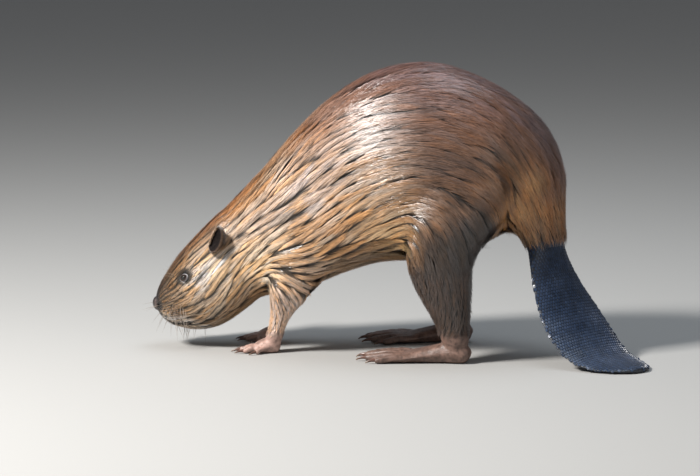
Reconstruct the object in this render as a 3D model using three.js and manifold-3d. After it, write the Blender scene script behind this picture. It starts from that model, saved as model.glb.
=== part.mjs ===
// A life-size North American beaver, standing still on four feet with its head low, its back
// arched high over the haunches and its flat tail hanging down to the ground behind it.
// Millimetres, +Z up, head towards -X, its left side towards -Y, the ground at Z = 0.
// The body is one run of sections from nose to tail tip, bent sideways as it goes, and each
// limb is a run of sections of its own, cut by the body where it meets it. The solids reach
// out to the tips of the lying coat.
import * as THREE from "three";
import { mergeVertices } from "three/addons/utils/BufferGeometryUtils.js";
import Module from "manifold-3d";

const wasm = await Module();
wasm.setup();

const DEG = Math.PI / 180;
const GAP = 0.35; // clear space between two pieces that touch
const BODY_SIDES = 22; // corners of a section of the body
const LIMB_SIDES = 12;
const TOE_SIDES = 6;
const SOLE_SIDES = 8;
const CLAW_SIDES = 5;

// How the body bends sideways: the head turns to its left, and so does the tail.
const HEAD_TURN = 9 * DEG;
const TAIL_TURN = 38 * DEG;
const HEAD_TURN_FROM = -110;
const HEAD_TURN_TO = -230;
const TAIL_TURN_FROM = 215;
const TAIL_TURN_TO = 365;

// ---------------------------------------------------------------- numbers along a run

// A Catmull-Rom value at t along a list of numbers.
function along(values, t) {
  const last = values.length - 1;
  const i = Math.min(Math.max(Math.floor(t), 0), last - 1);
  const f = t - i;
  const at = (k) =>
    k < 0 ? 2 * values[0] - values[1] : k > last ? 2 * values[last] - values[last - 1] : values[k];
  const [a, b, c, d] = [at(i - 1), at(i), at(i + 1), at(i + 2)];
  const slope = c - a;
  const bend = 2 * a - 5 * b + 4 * c - d;
  const twist = 3 * (b - c) + d - a;
  return b + 0.5 * f * (slope + f * (bend + f * twist));
}

function smooth(from, to, x) {
  const t = Math.min(Math.max((x - from) / (to - from), 0), 1);
  return t * t * (3 - 2 * t);
}

// Where a place in the unbent body comes to lie once the head and the tail are turned.
const TURN_STEP = 4;
const headingAt = (s) =>
  HEAD_TURN * smooth(HEAD_TURN_FROM, HEAD_TURN_TO, s) - TAIL_TURN * smooth(TAIL_TURN_FROM, TAIL_TURN_TO, s);

function turned(s, y, z) {
  const start = s < 0 ? HEAD_TURN_FROM : TAIL_TURN_FROM;
  const outside = s < 0 ? s < start : s > start;
  if (!outside) return new THREE.Vector3(s, y, z);
  const steps = Math.ceil(Math.abs(s - start) / TURN_STEP);
  const step = (s - start) / steps;
  const place = new THREE.Vector3(start, 0, z);
  for (let i = 0; i < steps; i++) {
    const heading = headingAt(start + (i + 0.5) * step);
    place.x += Math.cos(heading) * step;
    place.y += Math.sin(heading) * step;
  }
  const heading = headingAt(s);
  place.x -= Math.sin(heading) * y;
  place.y += Math.cos(heading) * y;
  return place;
}

// ---------------------------------------------------------------- solids

// A closed solid through rings of equal length, each end closed by a fan.
function loft(rings) {
  const sides = rings[0].length;
  const points = rings.flat();
  const ends = [rings[0], rings.at(-1)].map((ring) =>
    ring.reduce((sum, p) => sum.add(p), new THREE.Vector3()).divideScalar(sides),
  );
  const faces = [];
  for (let r = 0; r + 1 < rings.length; r++)
    for (let k = 0; k < sides; k++) {
      const [a, b] = [r * sides + k, r * sides + ((k + 1) % sides)];
      faces.push(a, a + sides, b, b, a + sides, b + sides);
    }
  const [first, last] = [points.length, points.length + 1];
  const base = (rings.length - 1) * sides;
  for (let k = 0; k < sides; k++) {
    const next = (k + 1) % sides;
    faces.push(first, k, next, last, base + next, base + k);
  }
  const all = [...points, ...ends];
  const geometry = new THREE.BufferGeometry()
    .setAttribute("position", new THREE.Float32BufferAttribute(all.flatMap((p) => p.toArray()), 3))
    .setIndex(faces);
  return solid(geometry);
}

function solid(geometry) {
  const plain = new THREE.BufferGeometry().setAttribute("position", geometry.getAttribute("position"));
  plain.setIndex(geometry.getIndex());
  const merged = mergeVertices(plain, 1e-4);
  const made = new wasm.Manifold(
    new wasm.Mesh({
      numProp: 3,
      vertProperties: new Float32Array(merged.attributes.position.array),
      triVerts: new Uint32Array(merged.index.array),
    }),
  );
  if (made.volume() > 0) return made;
  const turnedOut = new Uint32Array(merged.index.array);
  for (let i = 0; i < turnedOut.length; i += 3)
    [turnedOut[i + 1], turnedOut[i + 2]] = [turnedOut[i + 2], turnedOut[i + 1]];
  return new wasm.Manifold(
    new wasm.Mesh({ numProp: 3, vertProperties: merged.attributes.position.array, triVerts: turnedOut }),
  );
}

// A ball stretched to its three radii, turned about Y by pitch and then about Z by yaw.
function ball(centre, radii, { pitch = 0, yaw = 0, roll = 0, rows = 6, columns = 12 } = {}) {
  const geometry = new THREE.SphereGeometry(1, columns, rows);
  const turn = new THREE.Matrix4().makeRotationFromEuler(new THREE.Euler(roll, pitch, yaw, "ZYX"));
  geometry.applyMatrix4(new THREE.Matrix4().makeScale(...radii));
  geometry.applyMatrix4(turn);
  geometry.translate(...centre);
  return solid(geometry);
}

function block(size, centre) {
  return solid(new THREE.BoxGeometry(...size).translate(...centre));
}

const BELOW_GROUND = block([1600, 1600, 200], [0, 0, -100]);
const above = (level) => block([1600, 1600, 200], [0, 0, level + 100]);
const below = (level) => block([1600, 1600, 200], [0, 0, level - 100]);

// ---------------------------------------------------------------- the run of the body

// Each station of the body has a point on the back and one on the belly, in the unbent middle
// plane, its half width, how far below its middle it is widest, and how square it is.
const station = (back, belly, half, low = 0.1, square = 2.2) => ({ back, belly, half, low, square });

const BODY = [
  station([-306, 72], [-303, 57], 13, 0.0, 2.5), // 0 front of the muzzle
  station([-304, 85], [-293, 43], 22, 0.1, 2.4),
  station([-298, 102], [-279, 33], 31, 0.2, 2.3), // 2 upper lip
  station([-288, 120], [-261, 28], 38, 0.2, 2.2),
  station([-275, 140], [-238, 25], 47, 0.2, 2.2), // 4 eye
  station([-258, 160], [-209, 30], 56, 0.2, 2.2), // 5 cheek
  station([-238, 181], [-183, 44], 62, 0.15, 2.2),
  station([-216, 203], [-159, 62], 65, 0.1, 2.2), // 7 behind the ear
  station([-189, 230], [-137, 76], 69, 0.1, 2.1),
  station([-160, 259], [-112, 85], 76, 0.15, 2.1), // 9 neck
  station([-132, 290], [-83, 90], 86, 0.2, 2.1),
  station([-94, 334], [-42, 104], 99, 0.25, 2.1), // 11 shoulder
  station([-50, 379], [3, 124], 112, 0.3, 2.1),
  station([0, 418], [55, 140], 122, 0.3, 2.1), // 13 ribs
  station([57, 443], [102, 143], 129, 0.3, 2.1),
  station([116, 453], [141, 146], 132, 0.3, 2.1), // 15 top of the arch
  station([175, 441], [174, 155], 128, 0.25, 2.1),
  station([230, 417], [203, 166], 116, 0.2, 2.1), // 17 haunch
  station([276, 384], [226, 178], 99, 0.15, 2.1),
  station([308, 344], [242, 187], 81, 0.1, 2.1), // 19 rump
  station([325, 300], [250, 190], 65, 0.05, 2.0),
  station([331, 257], [258, 187], 53, 0.0, 2.0), // 21 root of the tail
  station([333, 216], [268, 178], 45, 0.0, 2.0),
  station([337, 176], [277, 166], 43, 0.0, 2.2), // 23 edge of the coat
];
const RINGS_PER_STATION = 1.5;
// The pieces of the body, each from one station to another.
const BODY_LENGTHS = [
  ["head", 0, 7.5],
  ["neck", 7.5, 10],
  ["chest", 10, 13],
  ["loins", 13, 16.5],
  ["rump", 16.5, 20],
  ["tail_root", 20, 23],
];

// The ring of the body at t along the stations, grown outwards by a little.
function bodyRing(t, grow = 0) {
  const pick = (f) => along(BODY.map(f), t);
  const back = [pick((p) => p.back[0]), pick((p) => p.back[1])];
  const belly = [pick((p) => p.belly[0]), pick((p) => p.belly[1])];
  const [half, low, square] = [pick((p) => p.half), pick((p) => p.low), pick((p) => p.square)];
  const middle = [(back[0] + belly[0]) / 2, (back[1] + belly[1]) / 2];
  const deep = Math.hypot(back[0] - belly[0], back[1] - belly[1]) / 2;
  const up = [(back[0] - belly[0]) / (2 * deep), (back[1] - belly[1]) / (2 * deep)];
  const ring = [];
  for (let k = 0; k < BODY_SIDES; k++) {
    const angle = (k / BODY_SIDES) * 2 * Math.PI;
    const [c, s] = [Math.cos(angle), Math.sin(angle)];
    const high = Math.sign(c) * Math.abs(c) ** (2 / square);
    const out = Math.sign(s) * Math.abs(s) ** (2 / square);
    const rise = (high - low * (1 - high * high)) * (deep + grow);
    ring.push(turned(middle[0] + up[0] * rise, out * (half + grow), middle[1] + up[1] * rise));
  }
  return ring;
}

// The body from one place along it to another, with half a gap left at each end. A grown
// length has the same corners a little further out, and closes the gaps at its ends.
const STATION_PITCH = 25; // least distance between two stations near a parting
function bodyLength([from, to], grow = 0) {
  const count = Math.max(2, Math.round((to - from) * RINGS_PER_STATION));
  const ease = (GAP / 2 - grow) / STATION_PITCH;
  const [a, b] = [from + ease, to - ease];
  return loft(Array.from({ length: count + 1 }, (_, i) => bodyRing(a + ((b - a) * i) / count, grow)));
}

const bodyCutter = BODY_LENGTHS.slice(1)
  .map(([, ...ends]) => bodyLength(ends, 2 * GAP))
  .reduce((sum, piece) => sum.add(piece));

// ---------------------------------------------------------------- limbs

// A solid through round stations, each [centre, half thickness fore and aft, half thickness
// sideways], with two rings to a station. Sections stand square to the run.
function limb(stations, { sides = LIMB_SIDES, perStation = 1, from = 0, to = stations.length - 1 } = {}) {
  const place = (t) => new THREE.Vector3(...[0, 1, 2].map((k) => along(stations.map((s) => s[0][k]), t)));
  const count = Math.max(2, Math.round((to - from) * perStation));
  const rings = [];
  for (let i = 0; i <= count; i++) {
    const t = from + ((to - from) * i) / count;
    const centre = place(t);
    const heading = place(t + 0.05).sub(place(t - 0.05)).normalize();
    const fore = new THREE.Vector3(0, 1, 0).cross(heading).normalize();
    const side = heading.clone().cross(fore).normalize();
    const [a, b] = [along(stations.map((s) => s[1]), t), along(stations.map((s) => s[2]), t)];
    rings.push(
      Array.from({ length: sides }, (_, k) => {
        const angle = (k / sides) * 2 * Math.PI;
        return centre
          .clone()
          .addScaledVector(fore, Math.cos(angle) * a)
          .addScaledVector(side, Math.sin(angle) * b);
      }),
    );
  }
  return loft(rings);
}

// side is -1 for the left limb and 1 for the right one. ahead shifts it towards the head.
const mirror = (stations, side, ahead = 0) =>
  stations.map(([[x, y, z], a, b]) => [[x - ahead, side * y, z], a, b]);

const FORELEG = [
  [[-62, 50, 232], 50, 30],
  [[-64, 56, 190], 58, 37],
  [[-70, 60, 150], 54, 37],
  [[-79, 61, 118], 43, 33],
  [[-88, 59, 94], 32, 27],
  [[-95, 56, 74], 22.5, 21],
  [[-101, 54, 55], 16, 17],
  [[-106, 53, 38], 14, 16],
  [[-110, 52, 22], 13, 16],
  [[-113, 52, 9], 8, 12],
];
const ELBOW = 3.6;
const WRIST = 32; // height of the parting above the foot

const HINDLEG = [
  [[210, 68, 300], 68, 40],
  [[186, 88, 256], 78, 48],
  [[165, 100, 214], 71, 49],
  [[156, 105, 176], 60, 45],
  [[157, 104, 140], 50, 39],
  [[164, 101, 108], 41, 33],
  [[172, 98, 78], 33, 28],
  [[177, 96, 52], 26, 23],
  [[180, 95, 30], 20, 20],
  [[180, 95, 12], 10, 12],
];
const KNEE = 3.4;
const ANKLE = 46;

// ---------------------------------------------------------------- feet

// Soles run from the heel forwards, with the ankle over [0, 0]. The hind one thins out into
// the web between the toes.
const FOREFOOT = {
  sole: [
    [[13, 0, 9], 6, 7],
    [[9, 0, 10], 11, 12],
    [[-1, 0, 11], 13, 17],
    [[-13, 0, 10], 12, 20],
    [[-23, 0, 7.5], 9, 19],
    [[-28, 0, 6], 5, 15],
  ],
  toes: [
    { root: [-10, -15, 7], angle: -44, length: 18, radius: 4.8 },
    { root: [-21, -12, 7], angle: -16, length: 24, radius: 5.1 },
    { root: [-25, -4, 7], angle: -4, length: 26, radius: 5.2 },
    { root: [-23, 6, 7], angle: 10, length: 24, radius: 5.1 },
    { root: [-16, 13, 7], angle: 30, length: 20, radius: 4.8 },
  ],
  claw: { length: 12, radius: 2.7 },
  arch: 6,
};

const HINDFOOT = {
  sole: [
    [[22, 0, 11], 8, 9],
    [[17, 0, 13], 14, 14],
    [[4, 0, 16], 18, 18],
    [[-16, 0, 15], 17, 20],
    [[-38, 0, 12], 14, 25],
    [[-62, 0, 9], 11, 32],
    [[-82, 0, 6], 7, 38],
    [[-100, 0, 3.6], 3.4, 43],
    [[-116, 0, 2.8], 2.3, 38],
    [[-129, 0, 2.4], 1.8, 22],
  ],
  toes: [
    { root: [-70, -26, 8], angle: -20, length: 50, radius: 6.6 },
    { root: [-78, -14, 8], angle: -10, length: 60, radius: 7.2 },
    { root: [-80, 0, 8], angle: 0, length: 64, radius: 7.6 },
    { root: [-78, 14, 8], angle: 10, length: 60, radius: 7.2 },
    { root: [-70, 26, 8], angle: 20, length: 50, radius: 6.6 },
  ],
  claw: { length: 13, radius: 3.2 },
  arch: 5,
};

// A toe runs from its root over a knuckle and comes down to a flat pad.
function toeRun({ root, angle, length, radius }, arch) {
  const [c, s] = [Math.cos(angle * DEG), Math.sin(angle * DEG)];
  const at = (share, up) => [root[0] - c * length * share, root[1] + s * length * share, up];
  return [
    [at(0, root[2]), radius, radius],
    [at(0.42, radius + arch * 0.5), radius * 0.98, radius * 0.95],
    [at(0.88, radius * 0.78), radius * 0.92, radius * 0.9],
    [at(1, radius * 0.75), radius * 0.6, radius * 0.6],
  ];
}

// A claw leaves the toe's tip and curves down, its point just clear of the ground.
function clawRun({ root, angle, length, radius }, claw) {
  const [c, s] = [Math.cos(angle * DEG), Math.sin(angle * DEG)];
  const at = (on, up) => [root[0] - c * (length + on), root[1] + s * (length + on), up];
  const start = radius * 0.75;
  return [
    [at(GAP * 1.5, start), claw.radius, claw.radius * 0.8],
    [at(claw.length * 0.35, start + 0.5), claw.radius * 0.85, claw.radius * 0.66],
    [at(claw.length * 0.75, start * 0.8), claw.radius * 0.55, claw.radius * 0.42],
    [at(claw.length, start * 0.4), claw.radius * 0.2, claw.radius * 0.18],
  ];
}

// The foot with the end of the leg above it, cut level at the ankle and on the ground, and
// its claws, each just clear of its toe.
function foot(plan, place, yaw, legEnd, ankle) {
  const toes = plan.toes.map((toe) => limb(toeRun(toe, plan.arch), { sides: TOE_SIDES }));
  const sole = limb(plan.sole, { sides: SOLE_SIDES });
  const set = (made) => made.rotate([0, 0, yaw / DEG]).translate([place[0], place[1], 0]);
  const whole = set(toes.reduce((sum, toe) => sum.add(toe), sole))
    .add(legEnd)
    .subtract(BELOW_GROUND)
    .subtract(above(ankle - GAP / 2));
  const claws = plan.toes.map((toe) => set(limb(clawRun(toe, plan.claw), { sides: CLAW_SIDES })));
  return { foot: whole, claws };
}

// ---------------------------------------------------------------- tail

// The bare tail's middle line hangs steeply, then bends to lie on the ground. Each row is the
// share of its length, its slope below level in degrees, half width and half thickness.
const TAIL_LENGTH = 312;
const TAIL = [
  [0.0, 78, 42, 24],
  [0.08, 71, 48, 20],
  [0.18, 66, 56, 15.5],
  [0.3, 62, 61, 12.5],
  [0.42, 59, 67, 10.5],
  [0.54, 54, 70, 9.2],
  [0.65, 42, 69, 8.2],
  [0.75, 22, 65, 7.4],
  [0.85, 3, 56, 6.6],
  [0.93, 0, 42, 5.8],
  [0.98, 0, 25, 5.2],
  [1.0, 0, 10, 4.4],
];
const TAIL_SIDES = 14;
const TAIL_PARTINGS = [0, 0.34, 0.68, 1];

// Rings of the tail between two shares of its length.
function tailLength(from, to) {
  const steps = 60;
  const column = (k, share) => {
    const i = TAIL.findIndex((row, n) => n + 1 === TAIL.length - 1 || TAIL[n + 1][0] >= share);
    const f = (share - TAIL[i][0]) / (TAIL[i + 1][0] - TAIL[i][0]);
    return along(TAIL.map((row) => row[k]), i + f);
  };
  const last = BODY.at(-1);
  const start = [(last.back[0] + last.belly[0]) / 2, (last.back[1] + last.belly[1]) / 2];
  const line = [start];
  for (let i = 0; i < steps; i++) {
    const slope = column(1, (i + 0.5) / steps) * DEG;
    const [s, z] = line[i];
    line.push([s + (Math.cos(slope) * TAIL_LENGTH) / steps, z - (Math.sin(slope) * TAIL_LENGTH) / steps]);
  }
  const lift = TAIL.at(-1)[3] - line[steps][1];
  const ease = GAP / 2 / TAIL_LENGTH;
  const shares = [from + ease, ...TAIL.map((row) => row[0]), to - (to < 1 ? ease : 0)]
    .filter((share) => share >= from + ease && share <= to)
    .sort((a, b) => a - b);
  return loft(
    [...new Set(shares)].map((share) => {
      const i = Math.min(Math.floor(share * steps), steps - 1);
      const f = share * steps - i;
      const [s, z] = [0, 1].map((k) => line[i][k] + f * (line[i + 1][k] - line[i][k]));
      const slope = column(1, share) * DEG;
      const [half, thick] = [column(2, share), column(3, share)];
      const settle = lift * smooth(0, 0.8, share);
      return Array.from({ length: TAIL_SIDES }, (_, k) => {
        const angle = (k / TAIL_SIDES) * 2 * Math.PI;
        const [c, o] = [Math.cos(angle), Math.sin(angle)];
        const rise = Math.sign(c) * Math.abs(c) ** 1.25 * thick;
        return turned(s + Math.sin(slope) * rise, o * half, z + settle + Math.cos(slope) * rise);
      });
    }),
  );
}

// ---------------------------------------------------------------- head pieces

const EYE = { at: [-257, 37.3, 112], radius: 7 };
const EAR = { at: [-203, 61, 178], height: 20, width: 14, thick: 5 };
const NOSE = { at: [-299, 0, 67], radii: [11, 20, 12], pitch: 32 * DEG };

const eyePlace = (side) => turned(EYE.at[0], side * EYE.at[1], EYE.at[2]).toArray();
const eyeBall = (side, grow = 0) =>
  ball(eyePlace(side), Array(3).fill(EYE.radius + grow), { rows: 6, columns: 10 });

// An ear is a flat oval shell, hollowed on the side that faces forwards and out.
function ear(side) {
  const centre = turned(EAR.at[0], side * EAR.at[1], EAR.at[2]).toArray();
  const lean = { pitch: 12 * DEG, yaw: side * -38 * DEG + HEAD_TURN, roll: side * -24 * DEG };
  const shell = ball(centre, [EAR.thick, EAR.width, EAR.height], { ...lean, rows: 7, columns: 10 });
  const forward = new THREE.Vector3(-1, 0, 0).applyEuler(new THREE.Euler(lean.roll, lean.pitch, lean.yaw, "ZYX"));
  const hollowAt = new THREE.Vector3(...centre).addScaledVector(forward, EAR.thick * 0.95);
  const hollow = ball(hollowAt.toArray(), [EAR.thick * 1.1, EAR.width * 0.74, EAR.height * 0.76], {
    ...lean,
    rows: 7,
    columns: 10,
  });
  return shell.subtract(hollow);
}

const nose = ball(turned(...NOSE.at).toArray(), NOSE.radii, { pitch: NOSE.pitch, yaw: HEAD_TURN });
const noseGrown = ball(
  turned(...NOSE.at).toArray(),
  NOSE.radii.map((r) => r + GAP),
  { pitch: NOSE.pitch, yaw: HEAD_TURN },
);

// ---------------------------------------------------------------- the animal

const COAT = new THREE.MeshStandardMaterial({ color: 0x8a5a34, roughness: 0.55, metalness: 0 });
const SKIN = new THREE.MeshStandardMaterial({ color: 0x6e5048, roughness: 0.6, metalness: 0 });
const TAIL_SKIN = new THREE.MeshStandardMaterial({ color: 0x2c333b, roughness: 0.4, metalness: 0 });
const HORN = new THREE.MeshStandardMaterial({ color: 0x3a2e28, roughness: 0.4, metalness: 0 });
const WET_DARK = new THREE.MeshStandardMaterial({ color: 0x1a1412, roughness: 0.15, metalness: 0 });

const beaver = new THREE.Group();

function add(name, made, material) {
  const { vertProperties, numProp, triVerts, numVert } = made.getMesh();
  const places = new Float32Array(numVert * 3);
  for (let i = 0; i < numVert; i++) places.set(vertProperties.subarray(i * numProp, i * numProp + 3), i * 3);
  const geometry = new THREE.BufferGeometry()
    .setAttribute("position", new THREE.BufferAttribute(places, 3))
    .setIndex(new THREE.BufferAttribute(triVerts, 1));
  const mesh = new THREE.Mesh(geometry, material);
  mesh.name = name;
  beaver.add(mesh);
}

const SIDES = [
  { word: "left", side: -1, foreAhead: 0, hindAhead: 0 },
  { word: "right", side: 1, foreAhead: 16, hindAhead: 24 },
];

const [headEnds, ...trunkEnds] = BODY_LENGTHS;
const sockets = SIDES.map(({ side }) => eyeBall(side, GAP));
const skull = bodyLength(headEnds.slice(1));
add("head", [...sockets, noseGrown].reduce((sum, cut) => sum.subtract(cut), skull), COAT);
add("nose", nose, WET_DARK);
for (const [name, ...ends] of trunkEnds) add(name, bodyLength(ends), COAT);
["near", "middle", "tip"].forEach((word, i) =>
  add(
    "tail_" + word,
    tailLength(TAIL_PARTINGS[i], TAIL_PARTINGS[i + 1]).subtract(bodyCutter).subtract(BELOW_GROUND),
    TAIL_SKIN,
  ),
);

for (const { word, side, foreAhead, hindAhead } of SIDES) {
  add("eye_" + word, eyeBall(side), WET_DARK);
  const bed = bodyLength(headEnds.slice(1), 2 * GAP).add(bodyCutter);
  add("ear_" + word, ear(side).subtract(bed), COAT);
  const limbs = [
    { name: "fore", run: FORELEG, parting: ELBOW, ankle: WRIST, ahead: foreAhead, plan: FOREFOOT, yaw: -4 },
    { name: "hind", run: HINDLEG, parting: KNEE, ankle: ANKLE, ahead: hindAhead, plan: HINDFOOT, yaw: 6 },
  ];
  for (const { name, run, parting, ankle, ahead, plan, yaw } of limbs) {
    const stations = mirror(run, side, ahead);
    const end = stations.length - 1;
    const [upper, lower] = name === "fore" ? ["upper_arm_", "forearm_"] : ["thigh_", "shank_"];
    const ease = GAP / 2 / STATION_PITCH;
    const upperRun = limb(stations, { from: 0, to: parting - ease });
    const lowerRun = limb(stations, { from: parting + ease, to: end });
    add(upper + word, upperRun.subtract(bodyCutter), COAT);
    add(lower + word, lowerRun.subtract(bodyCutter).subtract(below(ankle + GAP / 2)), COAT);
    const ankleEnd = limb(stations, { from: end - 3, to: end });
    const made = foot(plan, stations[end][0], side * yaw * DEG, ankleEnd, ankle);
    add(name + "foot_" + word, made.foot, SKIN);
    made.claws.forEach((claw, i) => add(`${name}claw_${word}_${i + 1}`, claw, HORN));
  }
}

// The origin is on the ground, in the middle of the animal's box.
const box = new THREE.Box3().setFromObject(beaver);
beaver.position.set(-(box.min.x + box.max.x) / 2, -(box.min.y + box.max.y) / 2, -box.min.z);

export default beaver;
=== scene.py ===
import math

import bpy
import numpy as np
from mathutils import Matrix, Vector, noise
from mathutils.bvhtree import BVHTree
from mathutils.kdtree import KDTree


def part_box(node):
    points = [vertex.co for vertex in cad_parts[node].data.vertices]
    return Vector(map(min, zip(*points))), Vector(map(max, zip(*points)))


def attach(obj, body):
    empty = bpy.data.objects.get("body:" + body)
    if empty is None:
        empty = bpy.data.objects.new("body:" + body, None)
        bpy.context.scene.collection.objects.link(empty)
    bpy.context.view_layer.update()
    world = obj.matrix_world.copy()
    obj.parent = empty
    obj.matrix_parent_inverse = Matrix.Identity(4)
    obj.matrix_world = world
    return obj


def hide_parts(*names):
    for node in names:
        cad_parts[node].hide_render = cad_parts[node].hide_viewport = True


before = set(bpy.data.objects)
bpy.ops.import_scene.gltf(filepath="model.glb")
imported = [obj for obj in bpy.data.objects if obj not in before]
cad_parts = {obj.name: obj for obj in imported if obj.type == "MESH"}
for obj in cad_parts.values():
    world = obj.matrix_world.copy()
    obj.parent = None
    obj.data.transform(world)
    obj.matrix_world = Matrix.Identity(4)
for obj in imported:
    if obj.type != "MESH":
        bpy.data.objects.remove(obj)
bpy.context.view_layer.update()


# ------------------------------------------------------------------ camera, floor and light
# The animal stands on a wide, plain pale floor, under a large soft light from its front left,
# a cooler one overhead, and a weak one from the other side.
CAMERA_AIM = Vector((-0.083, 0.002, 0.174))
CAMERA_DISTANCE = 5.0
AZIMUTH, ELEVATION = math.radians(10), math.radians(8)
FOCAL_LENGTH = 166
FLOOR_SIDE = 44
FLOOR_COLOUR = (0.345, 0.34, 0.33, 1)
SKY_COLOUR = (0.9, 0.94, 1.0, 1)


def deselect():
    for thing in bpy.context.selected_objects:
        thing.select_set(False)


towards = Vector((math.sin(AZIMUTH) * math.cos(ELEVATION),
                  -math.cos(AZIMUTH) * math.cos(ELEVATION),
                  math.sin(ELEVATION)))
bpy.ops.object.camera_add(location=CAMERA_AIM + towards * CAMERA_DISTANCE)
camera = bpy.context.object
camera.data.lens = FOCAL_LENGTH
camera.data.clip_end = 60
camera.rotation_mode = "QUATERNION"
camera.rotation_quaternion = towards.to_track_quat("Z", "Y")
bpy.context.scene.camera = camera

deselect()
bpy.ops.mesh.primitive_plane_add(size=1, location=(0, 0, 0))
floor = bpy.context.object
floor.name = "floor"
bpy.ops.object.mode_set(mode="EDIT")
bpy.ops.transform.resize(value=(FLOOR_SIDE, FLOOR_SIDE, 1))
bpy.ops.object.mode_set(mode="OBJECT")
floor_paint = bpy.data.materials.new("floor_paint")
floor_paint.use_nodes = True
floor_shader = floor_paint.node_tree.nodes["Principled BSDF"]
floor_shader.inputs["Base Color"].default_value = FLOOR_COLOUR
floor_shader.inputs["Roughness"].default_value = 0.8
floor.data.materials.append(floor_paint)


def soft_light(name, place, size, watts, colour):
    bpy.ops.object.light_add(type="AREA", location=place)
    light = bpy.context.object
    light.name = name
    light.data.size = size
    light.data.energy = watts
    light.data.color = colour
    light.rotation_mode = "QUATERNION"
    light.rotation_quaternion = (Vector(place) - CAMERA_AIM).to_track_quat("Z", "Y")


soft_light("key_light", (-1.7, -1.6, 2.2), 0.6, 205, (1.0, 0.975, 0.94))
soft_light("sky_light", (0.3, 0.5, 2.8), 1.8, 34, (0.80, 0.90, 1.0))
soft_light("fill_light", (2.4, -2.2, 0.9), 2.0, 12, (1.0, 0.98, 0.96))
world = bpy.data.worlds.new("studio")
world.use_nodes = True
background = world.node_tree.nodes["Background"]
background.inputs["Color"].default_value = SKY_COLOUR
background.inputs["Strength"].default_value = 0.20
bpy.context.scene.world = world
bpy.context.scene.view_settings.view_transform = "Standard"


# ------------------------------------------------------------------ skin
# One unbroken hide over the head, body, legs and tail, under the coat by the coat's depth. It
# is grown from the solids, smoothed where flesh runs into flesh, and kept crisp at the
# muzzle, feet and tail.
SPINE_PARTS = ("nose", "head", "neck", "chest", "loins", "rump", "tail_root", "tail_near", "tail_middle",
               "tail_tip")
LEG_PARTS = ("upper_arm", "forearm", "forefoot", "thigh", "shank", "hindfoot")
FLESH = ["head", "nose", *SPINE_PARTS[2:]]
for side in ("left", "right"):
    FLESH += [part + "_" + side for part in LEG_PARTS]
PLAIN_NAMES = [node.replace("_left", "").replace("_right", "") for node in FLESH]
SKIN_CELL = 0.0021
SKIN_SWELL = 0.0005  # how far each solid is swollen, so that its neighbours join it
SKIN_TRIS = 155000  # faces kept once the plain parts are thinned


def middle(*nodes):
    ends = [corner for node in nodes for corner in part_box(node)]
    return sum(ends, Vector()) / len(ends)


def read(rows, what, width, kind=float):
    """One property of a mesh's corners, edges or faces, a row for each."""
    flat = np.empty(len(rows) * width, kind)
    rows.foreach_get(what, flat)
    return flat.reshape(-1, width)


def read_places(obj):
    return read(obj.data.vertices, "co", 3)


def read_edges(obj):
    return read(obj.data.edges, "vertices", 2, int)


def read_tris(obj):
    obj.data.calc_loop_triangles()
    return read(obj.data.loop_triangles, "vertices", 3, int)


def plain_mesh(obj):
    """The corners and triangles of a mesh, with the corners that share a place joined."""
    places, where = np.unique(np.round(read_places(obj), 6), axis=0, return_inverse=True)
    return places, where.reshape(-1)[read_tris(obj)]


def unit(v):
    return v / np.maximum(np.linalg.norm(v, axis=-1, keepdims=True), 1e-12)


def at_corners(places, faces, ways):
    """Each corner's outward way, from the ways of the faces round it."""
    out = np.zeros_like(places)
    for k in range(faces.shape[1]):
        np.add.at(out, faces[:, k], ways)
    return unit(out)


def corner_normals(places, tris):
    first, second, third = (places[tris[:, k]] for k in range(3))
    return at_corners(places, tris, np.cross(second - first, third - first))


def mesh_from(name, places, faces):
    data = bpy.data.meshes.new(name)
    data.from_pydata(np.asarray(places).tolist(), [], faces if isinstance(faces, list) else faces.tolist())
    data.update()
    made = bpy.data.objects.new(name, data)
    bpy.context.scene.collection.objects.link(made)
    return made


def only(obj):
    deselect()
    obj.select_set(True)
    bpy.context.view_layer.objects.active = obj


solid_places, solid_tris, tri_part = [], [], []
for index, node in enumerate(FLESH):
    places, tris = plain_mesh(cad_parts[node])
    places = places + corner_normals(places, tris) * SKIN_SWELL
    solid_tris.append(tris + sum(len(p) for p in solid_places))
    solid_places.append(places)
    tri_part += [index] * len(tris)
solid_places, solid_tris, tri_part = np.vstack(solid_places), np.vstack(solid_tris), np.array(tri_part)
solids = BVHTree.FromPolygons(solid_places.tolist(), solid_tris.tolist())

skin = mesh_from("skin", solid_places, solid_tris)
only(skin)
skin.data.remesh_voxel_size = SKIN_CELL
bpy.ops.object.voxel_remesh()
shell = BVHTree.FromObject(skin, bpy.context.evaluated_depsgraph_get())


def spread(values, edges, rounds, hold=None):
    """Smooths values along the edges, by hold (0 to 1) at each corner."""
    near = np.bincount(edges.reshape(-1), minlength=len(values)).astype(float)
    values = values.astype(float).copy()
    flat = values.reshape(len(values), -1)
    for _ in range(rounds):
        total = np.empty_like(flat)
        for k in range(flat.shape[1]):
            total[:, k] = (np.bincount(edges[:, 0], flat[edges[:, 1], k], len(flat))
                           + np.bincount(edges[:, 1], flat[edges[:, 0], k], len(flat)))
        step = 0.55 * (total / near[:, None] - flat)
        flat += step if hold is None else step * hold[:, None]
    return flat.reshape(values.shape)


def parts_at(points):
    """The part of the body that lies nearest to each point."""
    return np.array([tri_part[solids.find_nearest(p)[2]] for p in points.tolist()])


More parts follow.
